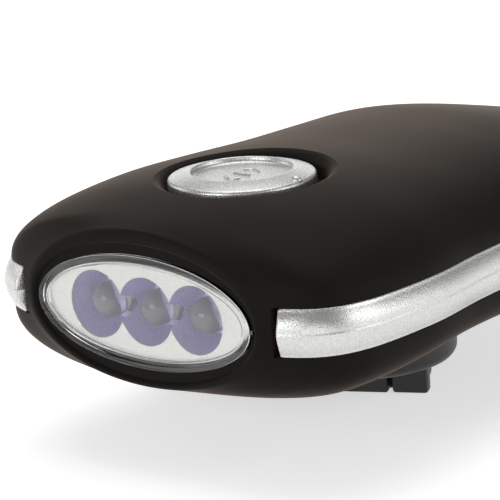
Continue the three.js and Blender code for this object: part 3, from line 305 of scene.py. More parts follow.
def block(low, high, bevel=0.0):
    """A box between two corners in the working frame. A bevel rounds its edges."""
    x0, y0, z0 = low
    x1, y1, z1 = high
    corners = [(x, y, z) for x in (x0, x1) for y in (y0, y1) for z in (z0, z1)]
    faces = [(0, 1, 3, 2), (4, 6, 7, 5), (0, 4, 5, 1), (2, 3, 7, 6), (0, 2, 6, 4), (1, 5, 7, 3)]
    piece = mesh_piece("block", corners, faces)
    if bevel:
        round_edges(piece, bevel)
    return piece


def round_edges(piece, width, segments=2, degrees=30):
    """Rounds every edge that is sharper than the angle."""
    bm = bmesh.new()
    bm.from_mesh(piece.data)
    limit = math.radians(degrees)
    edges = [e for e in bm.edges if len(e.link_faces) == 2 and e.calc_face_angle(0) > limit]
    bmesh.ops.bevel(
        bm, geom=edges, offset=width * MM, segments=segments, affect="EDGES", profile=0.5,
        clamp_overlap=True,
    )
    bm.to_mesh(piece.data)
    bm.free()


print("helpers for edges:", carve.__name__, smooth.__name__, round_edges.__name__)

# %% Turned solids
def full_turn(steps):
    return np.linspace(0, 2 * np.pi, steps, endpoint=False)


def ring_of(radius_x, radius_z, y, x=0.0, z=0.0, steps=128):
    """A ring that faces along Y, an oval in X and Z."""
    t = full_turn(steps)
    rim = [x + radius_x * np.cos(t), np.full(steps, float(y)), z + radius_z * np.sin(t)]
    return np.stack(rim, 1)


def along_y(name, profile, x, z, steps=96):
    """A turned solid about an axis along Y. The profile lists [radius, y]."""
    return loft(name, [ring_of(r, r, y, x, z, steps) for r, y in profile])


def turned(name, profile, centre, steps=96, closed=False):
    """A turned solid about an upright axis. The profile lists [radius, height]."""
    t = full_turn(steps)
    x, y = centre
    rings = [
        np.stack([x + r * np.cos(t), y + r * np.sin(t), np.full(steps, float(z))], 1)
        for r, z in profile
    ]
    return loft(name, rings, closed)


def pin(name, place, radius, low, high, steps=40):
    """An upright round bar."""
    return turned(name, [(0, low), (radius, low), (radius, high), (0, high)], place, steps)


def arc(centre, radius, start, end, steps=6):
    """Points of an arc in a profile, between two angles in degrees."""
    t = np.radians(np.linspace(start, end, steps + 1))
    return [(centre[0] + radius * math.cos(a), centre[1] + radius * math.sin(a)) for a in t]


print("helpers for turned solids:", along_y.__name__, turned.__name__, pin.__name__)

# %% [markdown]
# The housings are lofts of half sections, closer together at the nose and at the tail where the
# outline bends most. The hollow inside is a coarser loft of the same kind, drawn in by the wall.

# %% Sizes of the shells
BODY_STATIONS = 150
SECTION_STEPS = 96
SEAM_GAP = 0.06
TIP = {"width": 0.05, "height": 0.02, "short": 0.045}  # least size of a section, end of the tail
NOSE_EDGE = {"reach": 0.6, "rings": 7}
HOLLOW = {"wall": 2.0, "side": 4.0, "nose": 6.0, "tail": 9.0, "base": -1.0, "steps": 24}
BUTTON_Y = 23.0
BUTTON_RADIUS = 10.5
RECESS = {
    "radius": 11.5, "y": BUTTON_Y + 0.75, "floor": 3.3, "edge": 1.7, "wall": 1.4, "reach": 4.6,
}
print("well of", 2 * RECESS["radius"], "mm for a button of", 2 * BUTTON_RADIUS, "mm")

# %% Housing shells
def stations(start, end, count):
    return start + (end - start) * (1 - np.cos(np.pi * np.arange(count + 1) / count)) / 2


def half_section(y, side, inset=0.0, side_inset=0.0, base=SEAM_GAP / 2, steps=SECTION_STEPS):
    """Half a cross-section of the body, as a ring that is closed by its flat base."""
    width = max(half_width(y) - side_inset, TIP["width"])
    low = band(y)
    top = max(height(y, side) - inset, low + TIP["height"])
    across, upward = powers(y, side)
    t = np.linspace(0, np.pi, steps + 1)
    x = width * np.sign(np.cos(t)) * np.abs(np.cos(t)) ** (2 / across)
    z = low + (top - low) * np.abs(np.sin(t)) ** (2 / upward)
    x = np.concatenate([[width], x, [-width]])
    z = np.concatenate([[base], z, [base]])
    return np.stack([x, np.full(len(x), y), side * z], 1)


def shell_half(name, side):
    edge_ys = np.linspace(0, NOSE_EDGE["reach"], NOSE_EDGE["rings"])
    body_ys = stations(0, LENGTH - TIP["short"], BODY_STATIONS)
    ys = np.unique(np.concatenate([body_ys, edge_ys]))
    piece = loft(name, [half_section(y, side) for y in ys])
    inner = (HOLLOW["wall"], HOLLOW["side"], HOLLOW["base"], HOLLOW["steps"])
    hollow_ys = stations(HOLLOW["nose"], LENGTH - HOLLOW["tail"], HOLLOW["steps"])
    hollow = loft("hollow", [half_section(y, side, *inner) for y in hollow_ys])
    if side > 0:
        radius = RECESS["radius"] + RECESS["wall"]
        low, high = CROWN - RECESS["reach"], CROWN + RECESS["reach"]
        carve(hollow, pin("well", (0, RECESS["y"]), radius, low, high, 96))
    carve(piece, hollow)
    return piece


upper = shell_half("upper_shell", 1)
lower = shell_half("lower_shell", -1)
print("upper shell:", len(upper.data.vertices), "points")

# %% [markdown]
# The nose has a shallow oval collar, a pocket for the lens cover and a narrower opening for the
# reflector. Each is an oval cutter that runs forward past the front face. The collar's own edge is
# soft, so that cutter is made of several rings that widen as they reach the front.

# %% Sizes of the nose
LENS = {
    "width": 19.05, "height": 7.95, "rise": -0.1, "front": 0.25, "thickness": 0.7, "bead": 0.25,
}
LENS_BACK = LENS["front"] + LENS["thickness"]
COLLAR = {"width": 20.1, "height": 10.0, "depth": 0.5, "soft": 0.5, "flare": 0.4}
POCKET = {"gap": 0.08, "behind": 0.15, "plate_gap": 0.02, "plate_back": 3.7}
LIP = {"width": 16.6, "height": 6.6, "back": 7}
PLATE_INSET = 1.0
TAB = {
    "out": 0.4, "in": 0.6, "half_height": 0.32, "front": 0.06, "back": 0.1, "bevel": 0.08,
    "gap": 0.12,
}
BEFORE = -1.0  # where the cutters start, before the front face
print("lens", 2 * LENS["width"], "x", 2 * LENS["height"], "mm")

# %% Nose pockets
def oval_stack(name, rings):
    """A solid through ovals, from a list of [half width, half height, y]."""
    return loft(name, [ring_of(w, h, y, z=LENS["rise"]) for w, h, y in rings])


def oval_hole(name, width, height, back):
    return oval_stack(name, [(width, height, y) for y in (BEFORE, back)])


def nose_cutters():
    gap, lens_w, lens_h = POCKET["gap"], LENS["width"], LENS["height"]
    plate = gap + POCKET["plate_gap"] - PLATE_INSET
    w, h, depth, soft = COLLAR["width"], COLLAR["height"], COLLAR["depth"], COLLAR["soft"]
    collar = [(w + COLLAR["flare"], h + COLLAR["flare"], BEFORE), (w, h, 0.0)]
    collar += [(w - soft * t, h - soft * t, depth * t ** 2) for t in (0.3, 0.6, 1.0)]
    return [
        oval_stack("collar_cut", collar),
        oval_hole("lens_cut", lens_w + gap, lens_h + gap, LENS_BACK + POCKET["behind"]),
        oval_hole("plate_cut", lens_w + plate, lens_h + plate, POCKET["plate_back"]),
        oval_hole("lip_cut", LIP["width"], LIP["height"], LIP["back"]),
    ]


def beside_lens(gap, front, back):
    """A small block at the right end of the lens, for its tab or for the notch round it."""
    x, z = LENS["width"], LENS["rise"]
    high = TAB["half_height"] + gap
    low_corner = (x - TAB["in"], front, z - high)
    return block(low_corner, (x + TAB["out"] + gap, back, z + high), TAB["bevel"])


for shell in (upper, lower):
    for cutter in nose_cutters():
        carve(shell, cutter)
    carve(shell, beside_lens(TAB["gap"], BEFORE, LENS_BACK))
print("nose cut in both shells")

# %% [markdown]
# The button sits in a round well. Its rim is rounded, and because the crown falls away to the
# sides the rounding has to follow it. So the cutter's rings are not level: every point of a ring
# takes its height from the crown at the rim.

# %% Button well
BUTTON_STEPS = 160
BUTTON_PLAY = 0.35
button_top = float(crown_over(0.0, BUTTON_Y))


def well_cutter():
    t = full_turn(BUTTON_STEPS)
    radius, edge = RECESS["radius"], RECESS["edge"]
    rim = crown_over((radius + edge) * np.cos(t), RECESS["y"] + (radius + edge) * np.sin(t))
    floor = button_top - RECESS["floor"]

    def ring(r, z):
        return np.stack([r * np.cos(t), RECESS["y"] + r * np.sin(t), z + np.zeros_like(t)], 1)

    rings = [ring(0.1, floor), ring(radius, floor)]
    for angle in np.radians(np.linspace(0, 80, 9)):
        out = radius + edge * (1 - math.cos(angle))
        rings.append(ring(out, rim - edge + edge * math.sin(angle)))
    past_edge = radius + edge * 1.6
    rings += [ring(past_edge, rim + edge * 0.5), ring(past_edge, CROWN + 3)]
    return loft("well_cut", rings)


carve(upper, well_cutter())
hole_bottom = button_top - 2 * RECESS["floor"]
hole_radius = BUTTON_RADIUS + BUTTON_PLAY
carve(upper, pin("button_hole", (0, BUTTON_Y), hole_radius, hole_bottom, button_top, BUTTON_STEPS))
print(f"well for the button, its dish edge at {button_top:.1f} mm")

# %% [markdown]
# Each side has a channel for the two silver strips. The channel follows the outline at a constant
# depth, so its points are pushed along the outline's normal rather than straight inwards.

# %% Trim channels
TRIM = {
    "start": 1.15, "end": LENGTH - 17.0, "depth": 1.5, "crown": 1.2,
    "pocket": 0.1, "side_gap": 0.12, "floor_gap": 0.3, "play": 0.02,
}


def side_point(y, out, z, side):
    """A point at a distance out from the side of the body, along the normal of the outline."""
    step = 0.2
    slope = (half_width(y + step) - half_width(y - step)) / (2 * step)
    length = math.hypot(1, slope)
    return side * (side_at(y, z) + out / length), y - out * slope / length, z


def channel_cutter(side):
    floor, outside, high = -TRIM["depth"] - TRIM["floor_gap"], 2, BAND + TRIM["side_gap"]
    section = [(floor, -high), (outside, -high), (outside, high), (floor, high)]
    ys = stations(TRIM["start"] - TRIM["pocket"], TRIM["end"] + TRIM["pocket"], 120)
    rings = [[side_point(y, out, z, side) for out, z in section] for y in ys]
    return loft("channel_cut", rings)


for shell in (upper, lower):
    for side in (-1, 1):
        carve(shell, channel_cutter(side))
print("channels cut")

# %% [markdown]
# Under the torch there is the hole for the crank's shaft and four counterbores for the case
# screws, with the bosses that the screws pull together. Behind them the tail has a small hole for
# a wrist strap.

# %% Holes and bosses of the housings
CRANK_Y = 49.0
BELOW = -KEEL - 3  # where the cutters start, below the keel
SCREWS = {"nose": 13.0, "tail": 11.0, "beside": 1.3, "bore": 1.3, "head": 2.5, "roof": -3.5}
BOSS = {"radius": 3.2, "share": 0.55}  # share of the keel's depth that the boss goes down
BEARING = {"radius": 6.35, "bore": 4.35, "low": -10.5, "high": -7.2}
STRAP = {"radius": 1.7, "tail": 4.6}


def screw_places():
    for y in (SCREWS["nose"], LENGTH - SCREWS["tail"]):
        x = half_width(y) - HOLLOW["side"] - BOSS["radius"] - SCREWS["beside"]
        yield from ((-x, y), (x, y))


def boss(place):
    """An upright boss from the parting plane down to the inside of the keel."""
    y = place[1]
    end = band(y) + (height(y, -1) - band(y)) * BOSS["share"]
    return pin("boss", place, BOSS["radius"], -end, -SEAM_GAP / 2)


for place in screw_places():
    carve(lower, boss(place), "UNION")
    carve(lower, pin("bore", place, SCREWS["bore"], BELOW, 1))
    carve(lower, pin("counterbore", place, SCREWS["head"], BELOW, SCREWS["roof"]))
shaft = (0, CRANK_Y)
carve(lower, pin("bearing", shaft, BEARING["radius"], BEARING["low"], BEARING["high"]), "UNION")
carve(lower, pin("shaft_hole", shaft, BEARING["bore"], BELOW, 1))
for shell in (upper, lower):
    carve(shell, pin("strap_hole", (0, LENGTH - STRAP["tail"]), STRAP["radius"], BELOW, CROWN))
print("lower shell:", len(lower.data.vertices), "points")

# %% [markdown]
# A boolean leaves long thin faces, and smooth shading can show them as streaks. The skin of the
# housings is a known surface, so its exact normals can be worked out from the outline curves and
# given to the mesh. Faces of pockets and holes keep the normals that Blender finds.

# %% The skin as a surface
SKIN = {"near": 0.03, "tail": 0.3, "angle": 25}  # what counts as a corner on the skin
SKIN_STEP = 0.01
LEAST = 1e-3  # keeps divisors off zero


def body_level(points):
    """A value that is 1 on the skin of the body, less inside it and more outside it."""
    x, y, z = (points[:, i] for i in range(3))
    y = np.clip(y, 0, LENGTH - 0.02)
    level = np.zeros(len(points))
    for side in (1, -1):
        mine = z * side >= 0
        across, upward = powers(y[mine], side)
        low = band(y[mine])
        rise = np.maximum(np.abs(z[mine]) - low, 0) / np.maximum(height(y[mine], side) - low, LEAST)
        wide = np.abs(x[mine]) / np.maximum(half_width(y[mine]), LEAST)
        level[mine] = (wide**across + rise**upward) ** 0.5
    return level


print("level on the crown:", round(float(body_level(np.array([[0, BUTTON_Y, button_top]]))[0]), 3))

# %% Exact normals on the skin
def skin_normals(piece):
    """Gives the corners on the body's skin the exact normals of that skin."""
    smooth(piece)
    mesh = piece.data
    points = np.empty(len(mesh.vertices) * 3)
    mesh.vertices.foreach_get("co", points)
    points = points.reshape(-1, 3) / MM - (0, FRONT, PARTING)
    slopes = [
        (body_level(points + offset) - body_level(points - offset)) / (2 * SKIN_STEP)
        for offset in np.eye(3) * SKIN_STEP
    ]
    slope = np.stack(slopes, 1)
    size = np.linalg.norm(slope, axis=1) + 1e-9
    exact = slope / size[:, None]
    near = np.abs(body_level(points) - 1) / size < SKIN["near"]
    near &= (points[:, 1] > CREASE) & (points[:, 1] < LENGTH - SKIN["tail"])
    corners = np.array([c.vector for c in mesh.corner_normals])
    vertex_of = np.empty(len(mesh.loops), int)
    mesh.loops.foreach_get("vertex_index", vertex_of)
    normals, counts = zip(*((p.normal, p.loop_total) for p in mesh.polygons))
    face_normals = np.repeat(np.array(normals), counts, axis=0)
    agree = (face_normals * exact[vertex_of]).sum(1) > math.cos(math.radians(SKIN["angle"]))
    use = near[vertex_of] & agree
    corners[use] = exact[vertex_of][use]
    mesh.normals_split_custom_set([tuple(n) for n in corners])
    return int(use.sum()), len(corners)


for shell in (upper, lower):
    print(shell.name, "corners on the skin: %d of %d" % skin_normals(shell))
for shell, node in ((upper, "upper_housing"), (lower, "lower_housing")):
    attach(shell, "housing")
    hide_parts(node)

# %% [markdown]
# The silver strips are moulded with a slight crown, so they catch the light as a soft band. Where
# the upper and the lower one meet, both rise to a fine ridge, which shows as a light line. Their
# front end bows forward a little. All their edges are rounded: at the ends the section shrinks
# over the last fraction of a millimetre.

# %% Sections of a strip
EDGE = 0.22
TRIM_TAIL_GAP = 0.3
STRIP_SEAM = 0.004
SEAM_RIDGE = {"height": 0.06, "width": 0.24}
END_BOW = {"depth": 0.25, "reach": 6.0}


def trim_section(y, row):
    """Section of the upper (row 1) or lower (row -1) strip, drawn in at its ends."""
    from_end = min(y - TRIM["start"], TRIM["end"] - TRIM_TAIL_GAP - y)
    near = min(max(1 - from_end / EDGE, 0), 1)
    shrink = EDGE * (1 - math.sqrt(1 - near**2))
    low, high = STRIP_SEAM / 2, BAND - TRIM["play"] - shrink
    section = [(-TRIM["depth"], high), (-TRIM["depth"], low)]
    ridge = SEAM_RIDGE["width"]
    for z in [low, ridge / 3, 2 * ridge / 3, ridge, *np.linspace(2 * ridge, high - EDGE, 8)]:
        rise = SEAM_RIDGE["height"] * max(1 - z / ridge, 0)
        section.append((TRIM["crown"] * (1 - (z / BAND) ** 2) - shrink + rise, z))
    for angle in np.radians(np.linspace(20, 90, 5)):
        z = high - EDGE + EDGE * math.sin(angle)
        out = TRIM["crown"] * (1 - ((high - EDGE) / BAND) ** 2) - shrink
        section.append((out - EDGE * (1 - math.cos(angle)), z))
    return [(out, row * z) for out, z in section]


def trim_ring(y, row, side):
    """One ring of a strip. Near the front its upper and lower parts lie further back."""
    near = max(1 - (y - TRIM["start"]) / END_BOW["reach"], 0) ** 2
    return [
        side_point(y + END_BOW["depth"] * near * (z / BAND) ** 2, out, z, side)
        for out, z in trim_section(y, row)
    ]


print("points in a section:", len(trim_section(LENGTH / 2, 1)))

# %% Silver trim strips
trims = []
end_shares = (0, 0.1, 0.3, 0.6, 1)
ends = [TRIM["start"] + EDGE * t for t in end_shares]
tail = [TRIM["end"] - TRIM_TAIL_GAP - EDGE * t for t in end_shares[::-1]]
trim_ys = ends + list(stations(ends[-1], tail[0], 140)[1:-1]) + tail
for side_name, side in (("left", -1), ("right", 1)):
    for row_name, row in (("upper", 1), ("lower", -1)):
        rings = [trim_ring(y, row, side) for y in trim_ys]
        strip = loft(f"trim_strip_{side_name}_{row_name}", rings)
        smooth(strip, 40)
        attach(strip, "housing")
        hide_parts(f"trim_{side_name}_{row_name}")
        trims.append(strip)
print("trim strips:", len(trims))

# %% [markdown]
# The lens cover is one clear moulding: a thin flat window inside a thick rounded rim. Light bends
# through the rim, and that gives the bright and dark rings round the window. So it has to be a
# true closed solid with its real thickness, not a flat glass plane.

# %% Clear lens cover
LENS_EDGE = {"corner": 0.22, "lift": 0.03, "back": 0.12}
LENS_MIDDLE = (0.05, 0.02)  # half width and half height of the innermost ring


def lens_section():
    """The section of the cover, as [distance in from its edge, y], from back to front."""
    front, back, corner = LENS["front"], LENS_BACK, LENS_EDGE["corner"]
    crest = front - LENS["bead"]
    section = [(4.0, back), (2.0, back), (LENS_EDGE["back"], back), (0.0, back - LENS_EDGE["back"])]
    section += [
        (corner - corner * math.cos(a), crest + LENS_EDGE["lift"] + corner - corner * math.sin(a))
        for a in np.radians([0, 30, 60, 90])
    ]
    bead = [(0.45, 0.0), (0.74, 0.0), (0.80, 0.02), (0.84, 0.05)]
    step = [(0.97, -0.04), (1.02, -0.01), (1.12, 0), (1.40, 0), (1.45, 0.05), (1.50, 0)]
    section += [(inset, crest + y) for inset, y in bead]
    section += [(inset, front + y) for inset, y in step]
    return section + [(2.2, front), (4.0, front)]


section = lens_section()
middle_rings = [(*LENS_MIDDLE, section[i][1]) for i in (0, -1)]
rings = [(LENS["width"] - inset, LENS["height"] - inset, y) for inset, y in section]
lens_cover = oval_stack("lens_cover_clear", [middle_rings[0], *rings, middle_rings[1]])
carve(lens_cover, beside_lens(0.0, TAB["front"], LENS_BACK - TAB["back"]), "UNION")
smooth(lens_cover, 32)
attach(lens_cover, "housing")
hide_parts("lens_cover")
print("lens cover:", len(lens_cover.data.vertices), "points")

# %% [markdown]
# Behind the lens lies one plated plate with three tapered cups that run into each other. Cutting
# three cones from it gives the sharp saddle where two cups meet. Each cutter flares at its mouth,
# which leaves the fine bright lip round every cup.

# %% Sections of the reflector
PLATE = {"gap": 0.3, "thickness": 1.1, "border": 0.15, "edge": 0.1}
PLATE_FRONT = LENS_BACK + PLATE["gap"]
PLATE_BACK = PLATE_FRONT + PLATE["thickness"]
CUP = {"pitch": 8.8, "mouth": 4.75, "base": 4.1, "depth": 6.4, "wall": 0.7}
CUP_BACK = PLATE_FRONT + CUP["depth"]
LAMP = {"radius": 2.5, "hole": 2.8, "length": 8.6, "setback": 0.25}
AXIS_Z = LENS["rise"]
cup_places = [(i - 1) * CUP["pitch"] for i in range(3)]


def plate_section():
    """The edge of the plate with its fine raised border, as [distance in, y]."""
    border, edge = PLATE_FRONT - PLATE["border"], PLATE["edge"]
    return [
        (3.0, PLATE_FRONT), (0.5, PLATE_FRONT), (0.35, border), (edge, border),
        (0.0, border + edge), (0.0, PLATE_BACK - edge), (edge, PLATE_BACK),
    ]


def cup_radius(y):
    return CUP["mouth"] - (CUP["mouth"] - CUP["base"]) * (y - PLATE_FRONT) / CUP["depth"]


def cup_outside():
    middle, end = (PLATE_FRONT + PLATE_BACK) / 2, CUP_BACK + CUP["wall"]
    radii = cup_radius(middle) + CUP["wall"], cup_radius(CUP_BACK) + CUP["wall"]
    return [(0, middle), (radii[0], middle), (radii[1], end), (0, end)]


def cup_inside():
    """From before the plate, over the lip and down the wall to the rounded floor."""
    mouth, base = CUP["mouth"], cup_radius(CUP_BACK)
    inside = [(0, PLATE_FRONT - 1), (mouth + 0.1, PLATE_FRONT - 1), (mouth + 0.1, PLATE_FRONT)]
    inside += [(mouth + 0.03, PLATE_FRONT + 0.05), (mouth - 0.02, PLATE_FRONT + 0.16)]
    inside += [(cup_radius(y), y) for y in np.linspace(PLATE_FRONT + 0.6, CUP_BACK - 1.2, 8)]
    floor = [(base - 0.12, 0.7), (base - 0.4, 0.25), (base - 0.9, 0), (0, 0)]
    return inside + [(radius, CUP_BACK - up) for radius, up in floor]


def lamp_hole():
    radius, low, high = LAMP["hole"], CUP_BACK - 1, CUP_BACK + 2
    return [(0, low), (radius, low), (radius, high), (0, high)]


print("cups at", cup_places, "mm")

# %% Reflector plate and cups
plate_w, plate_h = LENS["width"] - PLATE_INSET, LENS["height"] - PLATE_INSET
plate_rings = [(plate_w - inset, plate_h - inset, y) for inset, y in plate_section()]
reflector = oval_stack("reflector_plate", plate_rings)
for profile, steps, operation in (
    (cup_outside(), 96, "UNION"), (cup_inside(), 96, "DIFFERENCE"), (lamp_hole(), 64, "DIFFERENCE"),
):
    for x in cup_places:
        carve(reflector, along_y("cutter", profile, x, AXIS_Z, steps), operation)
smooth(reflector, 30)
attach(reflector, "housing")
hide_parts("reflector")
print("reflector:", len(reflector.data.vertices), "points")

# %% [markdown]
# A 5 mm lamp is a clear epoxy bullet with a flange. Inside it stand two metal posts. One ends in a
# tiny cup that holds the yellow chip, and a hair-thin wire crosses to the other. They are small,
# but the bullet magnifies them, and without them the lamp looks like an empty bead.

# %% Outline of a lamp
LAMP_TIP = PLATE_FRONT + LAMP["setback"]
LAMP_FOOT = LAMP_TIP + LAMP["length"]
CHIP_Y = LAMP_TIP + 4.9
CHIP_ASIDE = 0.3  # the chip's place beside the lamp's axis


def lamp_profile():
    radius = LAMP["radius"]
    dome = [
        (radius * math.sin(a), LAMP_TIP + radius * (1 - math.cos(a)))
        for a in np.linspace(0.02, np.pi / 2, 14)
    ]
    flange = [(radius, 1.05), (radius + 0.05, 1), (2.8, 1), (2.86, 0.9), (2.86, 0.05), (0, 0)]
    return [(0, LAMP_TIP)] + dome + [(r, LAMP_FOOT - up) for r, up in flange]


print("lamp from", round(LAMP_TIP, 2), "to", round(LAMP_FOOT, 2), "mm")

# %% What is inside a lamp
def merge(name, pieces):
    """Several closed meshes as one piece."""
    bm = bmesh.new()
    for piece in pieces:
        bm.from_mesh(piece.data)
        bpy.data.objects.remove(piece)
    mesh = bpy.data.meshes.new(name)
    bm.to_mesh(mesh)
    bm.free()
    return add(name, mesh)


def lamp_frame(name, x):
    """The two posts with the anvil, the chip's cup and the wire of one lamp."""
    post_end = LAMP_FOOT - 0.4
    bars = [  # from x, y to x, y, half the height, bevel
        (-0.95, CHIP_Y + 0.5, -0.35, post_end, 0.28, 0.08),
        (0.45, CHIP_Y + 0.1, 1.5, post_end, 0.3, 0.08),
        (-1.3, CHIP_Y + 1.2, 0.25, CHIP_Y + 2.6, 0.35, 0.08),
        (-0.32, CHIP_Y - 0.15, 0.62, CHIP_Y - 0.06, 0.04, 0.0),
    ]
    *posts, wire = [
        block((x + x0, y0, AXIS_Z - half), (x + x1, y1, AXIS_Z + half), bevel)
        for x0, y0, x1, y1, half, bevel in bars
    ]
    cup = [(0, 1.0), (0.8, 1.0), (1.35, 0.05), (1.28, 0), (0.78, 0.7), (0, 0.7)]
    return merge(name, [*posts, about_chip("chip_cup", cup, x), wire])


def about_chip(name, profile, x):
    """A turned piece round the chip. The profile lists [radius, distance behind the chip]."""
    return along_y(name, [(r, CHIP_Y + y) for r, y in profile], x - CHIP_ASIDE, AXIS_Z, 32)


def lamp_chip(name, x):
    blob = [(0, 0.67), (0.72, 0.67), (1.1, 0.25), (0.9, 0.08), (0.4, 0), (0, -0.02)]
    return about_chip(name, blob, x)


print("chip at", round(CHIP_Y, 2), "mm")

# %% The three lamps
lamp_bodies, lamp_frames, lamp_chips = [], [], []
for lamp_name, x in zip(("left", "centre", "right"), cup_places):
    body = along_y(f"lamp_body_{lamp_name}", lamp_profile(), x, AXIS_Z, 72)
    leads = lamp_frame(f"lamp_frame_{lamp_name}", x)
    chip = lamp_chip(f"lamp_chip_{lamp_name}", x)
    for piece in (body, leads, chip):
        smooth(piece, 40)
        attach(piece, "housing")
    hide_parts(f"lamp_{lamp_name}")
    lamp_bodies.append(body)
    lamp_frames.append(leads)
    lamp_chips.append(chip)
print("lamps:", len(lamp_bodies))

# %% [markdown]
# The push button is turned in one profile: a flat floor in a sunken dish, a rounded edge round it,
# a slope out to a soft shoulder and an upright wall. On the floor of the dish stands a plain sign
# for a lamp's light, a bar between two bows, and a bump on the slope lets a thumb feel which way
# the button faces.

# %% Profile of the button
DISH = {"radius": 7.2, "depth": 0.78, "edge": 0.25, "fillet": 0.65, "lift": 0.05}
SHOULDER = {"radius": 0.6, "drop": 0.72}
CAP = {"height": 6.0, "wall": 1.7, "flange": 1, "flange_height": 1.1, "stem": 2, "stem_end": 0.3}
MARK = {"pitch": 1.35, "radius": 1.5, "stroke": 0.45, "bar": 3.4, "bend": 62}
BUMP = {"inset": 1.0, "y": BUTTON_Y + 0.15, "drop": 0.72, "half_length": 0.9, "radius": 0.75}
crest = button_top + DISH["lift"]
rim_top = button_top - SHOULDER["drop"]
dish_floor = button_top - DISH["depth"]
button_bottom = button_top - CAP["height"]


def button_profile():
    r, soft, round_off, fillet = DISH["radius"], DISH["edge"], SHOULDER["radius"], DISH["fillet"]
    floor = [(0, dish_floor), (r - fillet, dish_floor)]
    floor += arc((r - fillet, dish_floor + fillet), fillet, -90, -12, 8)
    edge = arc((r + soft - 0.03, crest - soft), soft, 165, 72, 6)
    shoulder = arc((BUTTON_RADIUS - round_off, rim_top - round_off + 0.1), round_off, 72, 0, 8)
    flange, inner = BUTTON_RADIUS + CAP["flange"], BUTTON_RADIUS - CAP["wall"]
    flange_top, roof = button_bottom + CAP["flange_height"], dish_floor - CAP["wall"]
    stem_end = button_bottom + CAP["stem_end"]
    lower_part = [
        (BUTTON_RADIUS, flange_top + 0.05), (BUTTON_RADIUS + 0.05, flange_top),
        (flange, flange_top), (flange, button_bottom), (inner, button_bottom), (inner, roof),
        (CAP["stem"], roof), (CAP["stem"], stem_end), (0, stem_end),
    ]
    return floor + edge + shoulder + lower_part


print("points in the profile:", len(button_profile()))

# %% Marks and bump of the button
def mark_piece(points):
    """A raised stroke with a round section along points on the floor of the dish."""
    curve = bpy.data.curves.new("mark", "CURVE")
    curve.dimensions = "3D"
    curve.bevel_depth = MARK["stroke"] / 2 * MM
    curve.bevel_resolution = 3
    curve.use_fill_caps = True
    spline = curve.splines.new("POLY")
    spline.points.add(len(points) - 1)
    for target, (x, y) in zip(spline.points, points):
        target.co = (*to_metres((x, BUTTON_Y + y, dish_floor)), 1)
    holder = bpy.data.objects.new("mark", curve)
    mesh = bpy.data.meshes.new_from_object(holder)
    bpy.data.objects.remove(holder)
    return add("mark", mesh)


def bow(y, direction):
    """A part of a circle round a place on the dish, in a direction in degrees."""
    bend = MARK["bend"]
    return arc((0, y), MARK["radius"], direction - bend, direction + bend, 20)


def bump_piece():
    """A long rounded bump along X that sinks into the slope."""
    x, y, z = BUTTON_RADIUS - BUMP["inset"], BUMP["y"], button_top - BUMP["drop"]
    t, rings = full_turn(24), []
    for angle in np.radians(np.linspace(-85, 85, 13)):
        reach = BUMP["radius"] * math.cos(angle)
        along = np.full(24, x + BUMP["half_length"] * math.sin(angle))
        rings.append(np.stack([along, y + reach * np.cos(t), z + reach * np.sin(t)], 1))
    return loft("bump", rings)


print("mark:", MARK["bar"], "mm wide")

# %% Push button
half_bar = (MARK["bar"] - MARK["stroke"]) / 2
strokes = (bow(-MARK["pitch"], 270), [(-half_bar, 0), (half_bar, 0)], bow(MARK["pitch"], 90))
marks = [mark_piece(points) for points in strokes]
cap = turned("cap", button_profile(), (0, BUTTON_Y), BUTTON_STEPS)
button = merge("push_button", [cap, bump_piece(), *marks])
smooth(button, 40)
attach(button, "button")
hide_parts("button_cap")
print("button:", len(button.data.vertices), "points")

# %% [markdown]
# The crank is modelled about its shaft with the folded arm along X, and then turned into place.
# Its disc has a rounded lower edge that catches the light. One lug hangs from it, on the side that
# faces the lens, and the arm's tongue turns beside the lug on a pin that enters from behind.

# %% Crank sizes and the turn into place
ARM_ANGLE = math.radians(204)
ROTOR = {
    "radius": 13.6, "height": 7.9, "edge": 1.8, "gap": 0.5, "shaft": 4.0, "shaft_top": -5.6,
}
ARM = {
    "width": 9.6, "thickness": 4.0, "reach": 36.5, "hinge": 7.5, "tongue": (-1.5, 2.1), "gap": 0.3,
}
LUG = {"length": 5.4, "inner": 2.4, "skin": 0.6, "shoulder": 0.65, "sunk": 1.0, "bevel": 0.5}
HINGE_PIN = {"radius": 0.75, "bore": 1.05, "head": 1.5, "head_height": 0.8, "gap": 0.3}
half_arm, half_width_arm = ARM["thickness"] / 2, ARM["width"] / 2
rotor_top = -float(height(CRANK_Y, -1)) - ROTOR["gap"]
rotor_bottom = rotor_top - ROTOR["height"]
hinge_z = rotor_bottom - ARM["gap"] - half_arm
arm_top, arm_bottom = hinge_z + half_arm, hinge_z - half_arm
lug_front = -ARM["hinge"] + LUG["length"] / 2
lug_back = -ARM["hinge"] - LUG["length"] / 2
pin_end = half_width_arm - LUG["skin"]


def turn_crank(piece):
    """Turns a piece from the crank's own frame to its place under the torch."""
    cos, sin = math.cos(ARM_ANGLE), math.sin(ARM_ANGLE)
    for vertex in piece.data.vertices:
        x, y = vertex.co.x, vertex.co.y - FRONT * MM
        vertex.co.x = x * cos - y * sin
        vertex.co.y = x * sin + y * cos + (CRANK_Y + FRONT) * MM
    return piece


def hinge_rod(name, radius, low, high):
    """A round bar along the crank's Y, on the hinge."""
    return along_y(name, [(radius, low), (radius, high)], -ARM["hinge"], hinge_z, 48)


print("crank disc from", round(rotor_bottom, 1), "to", round(rotor_top, 1), "mm")

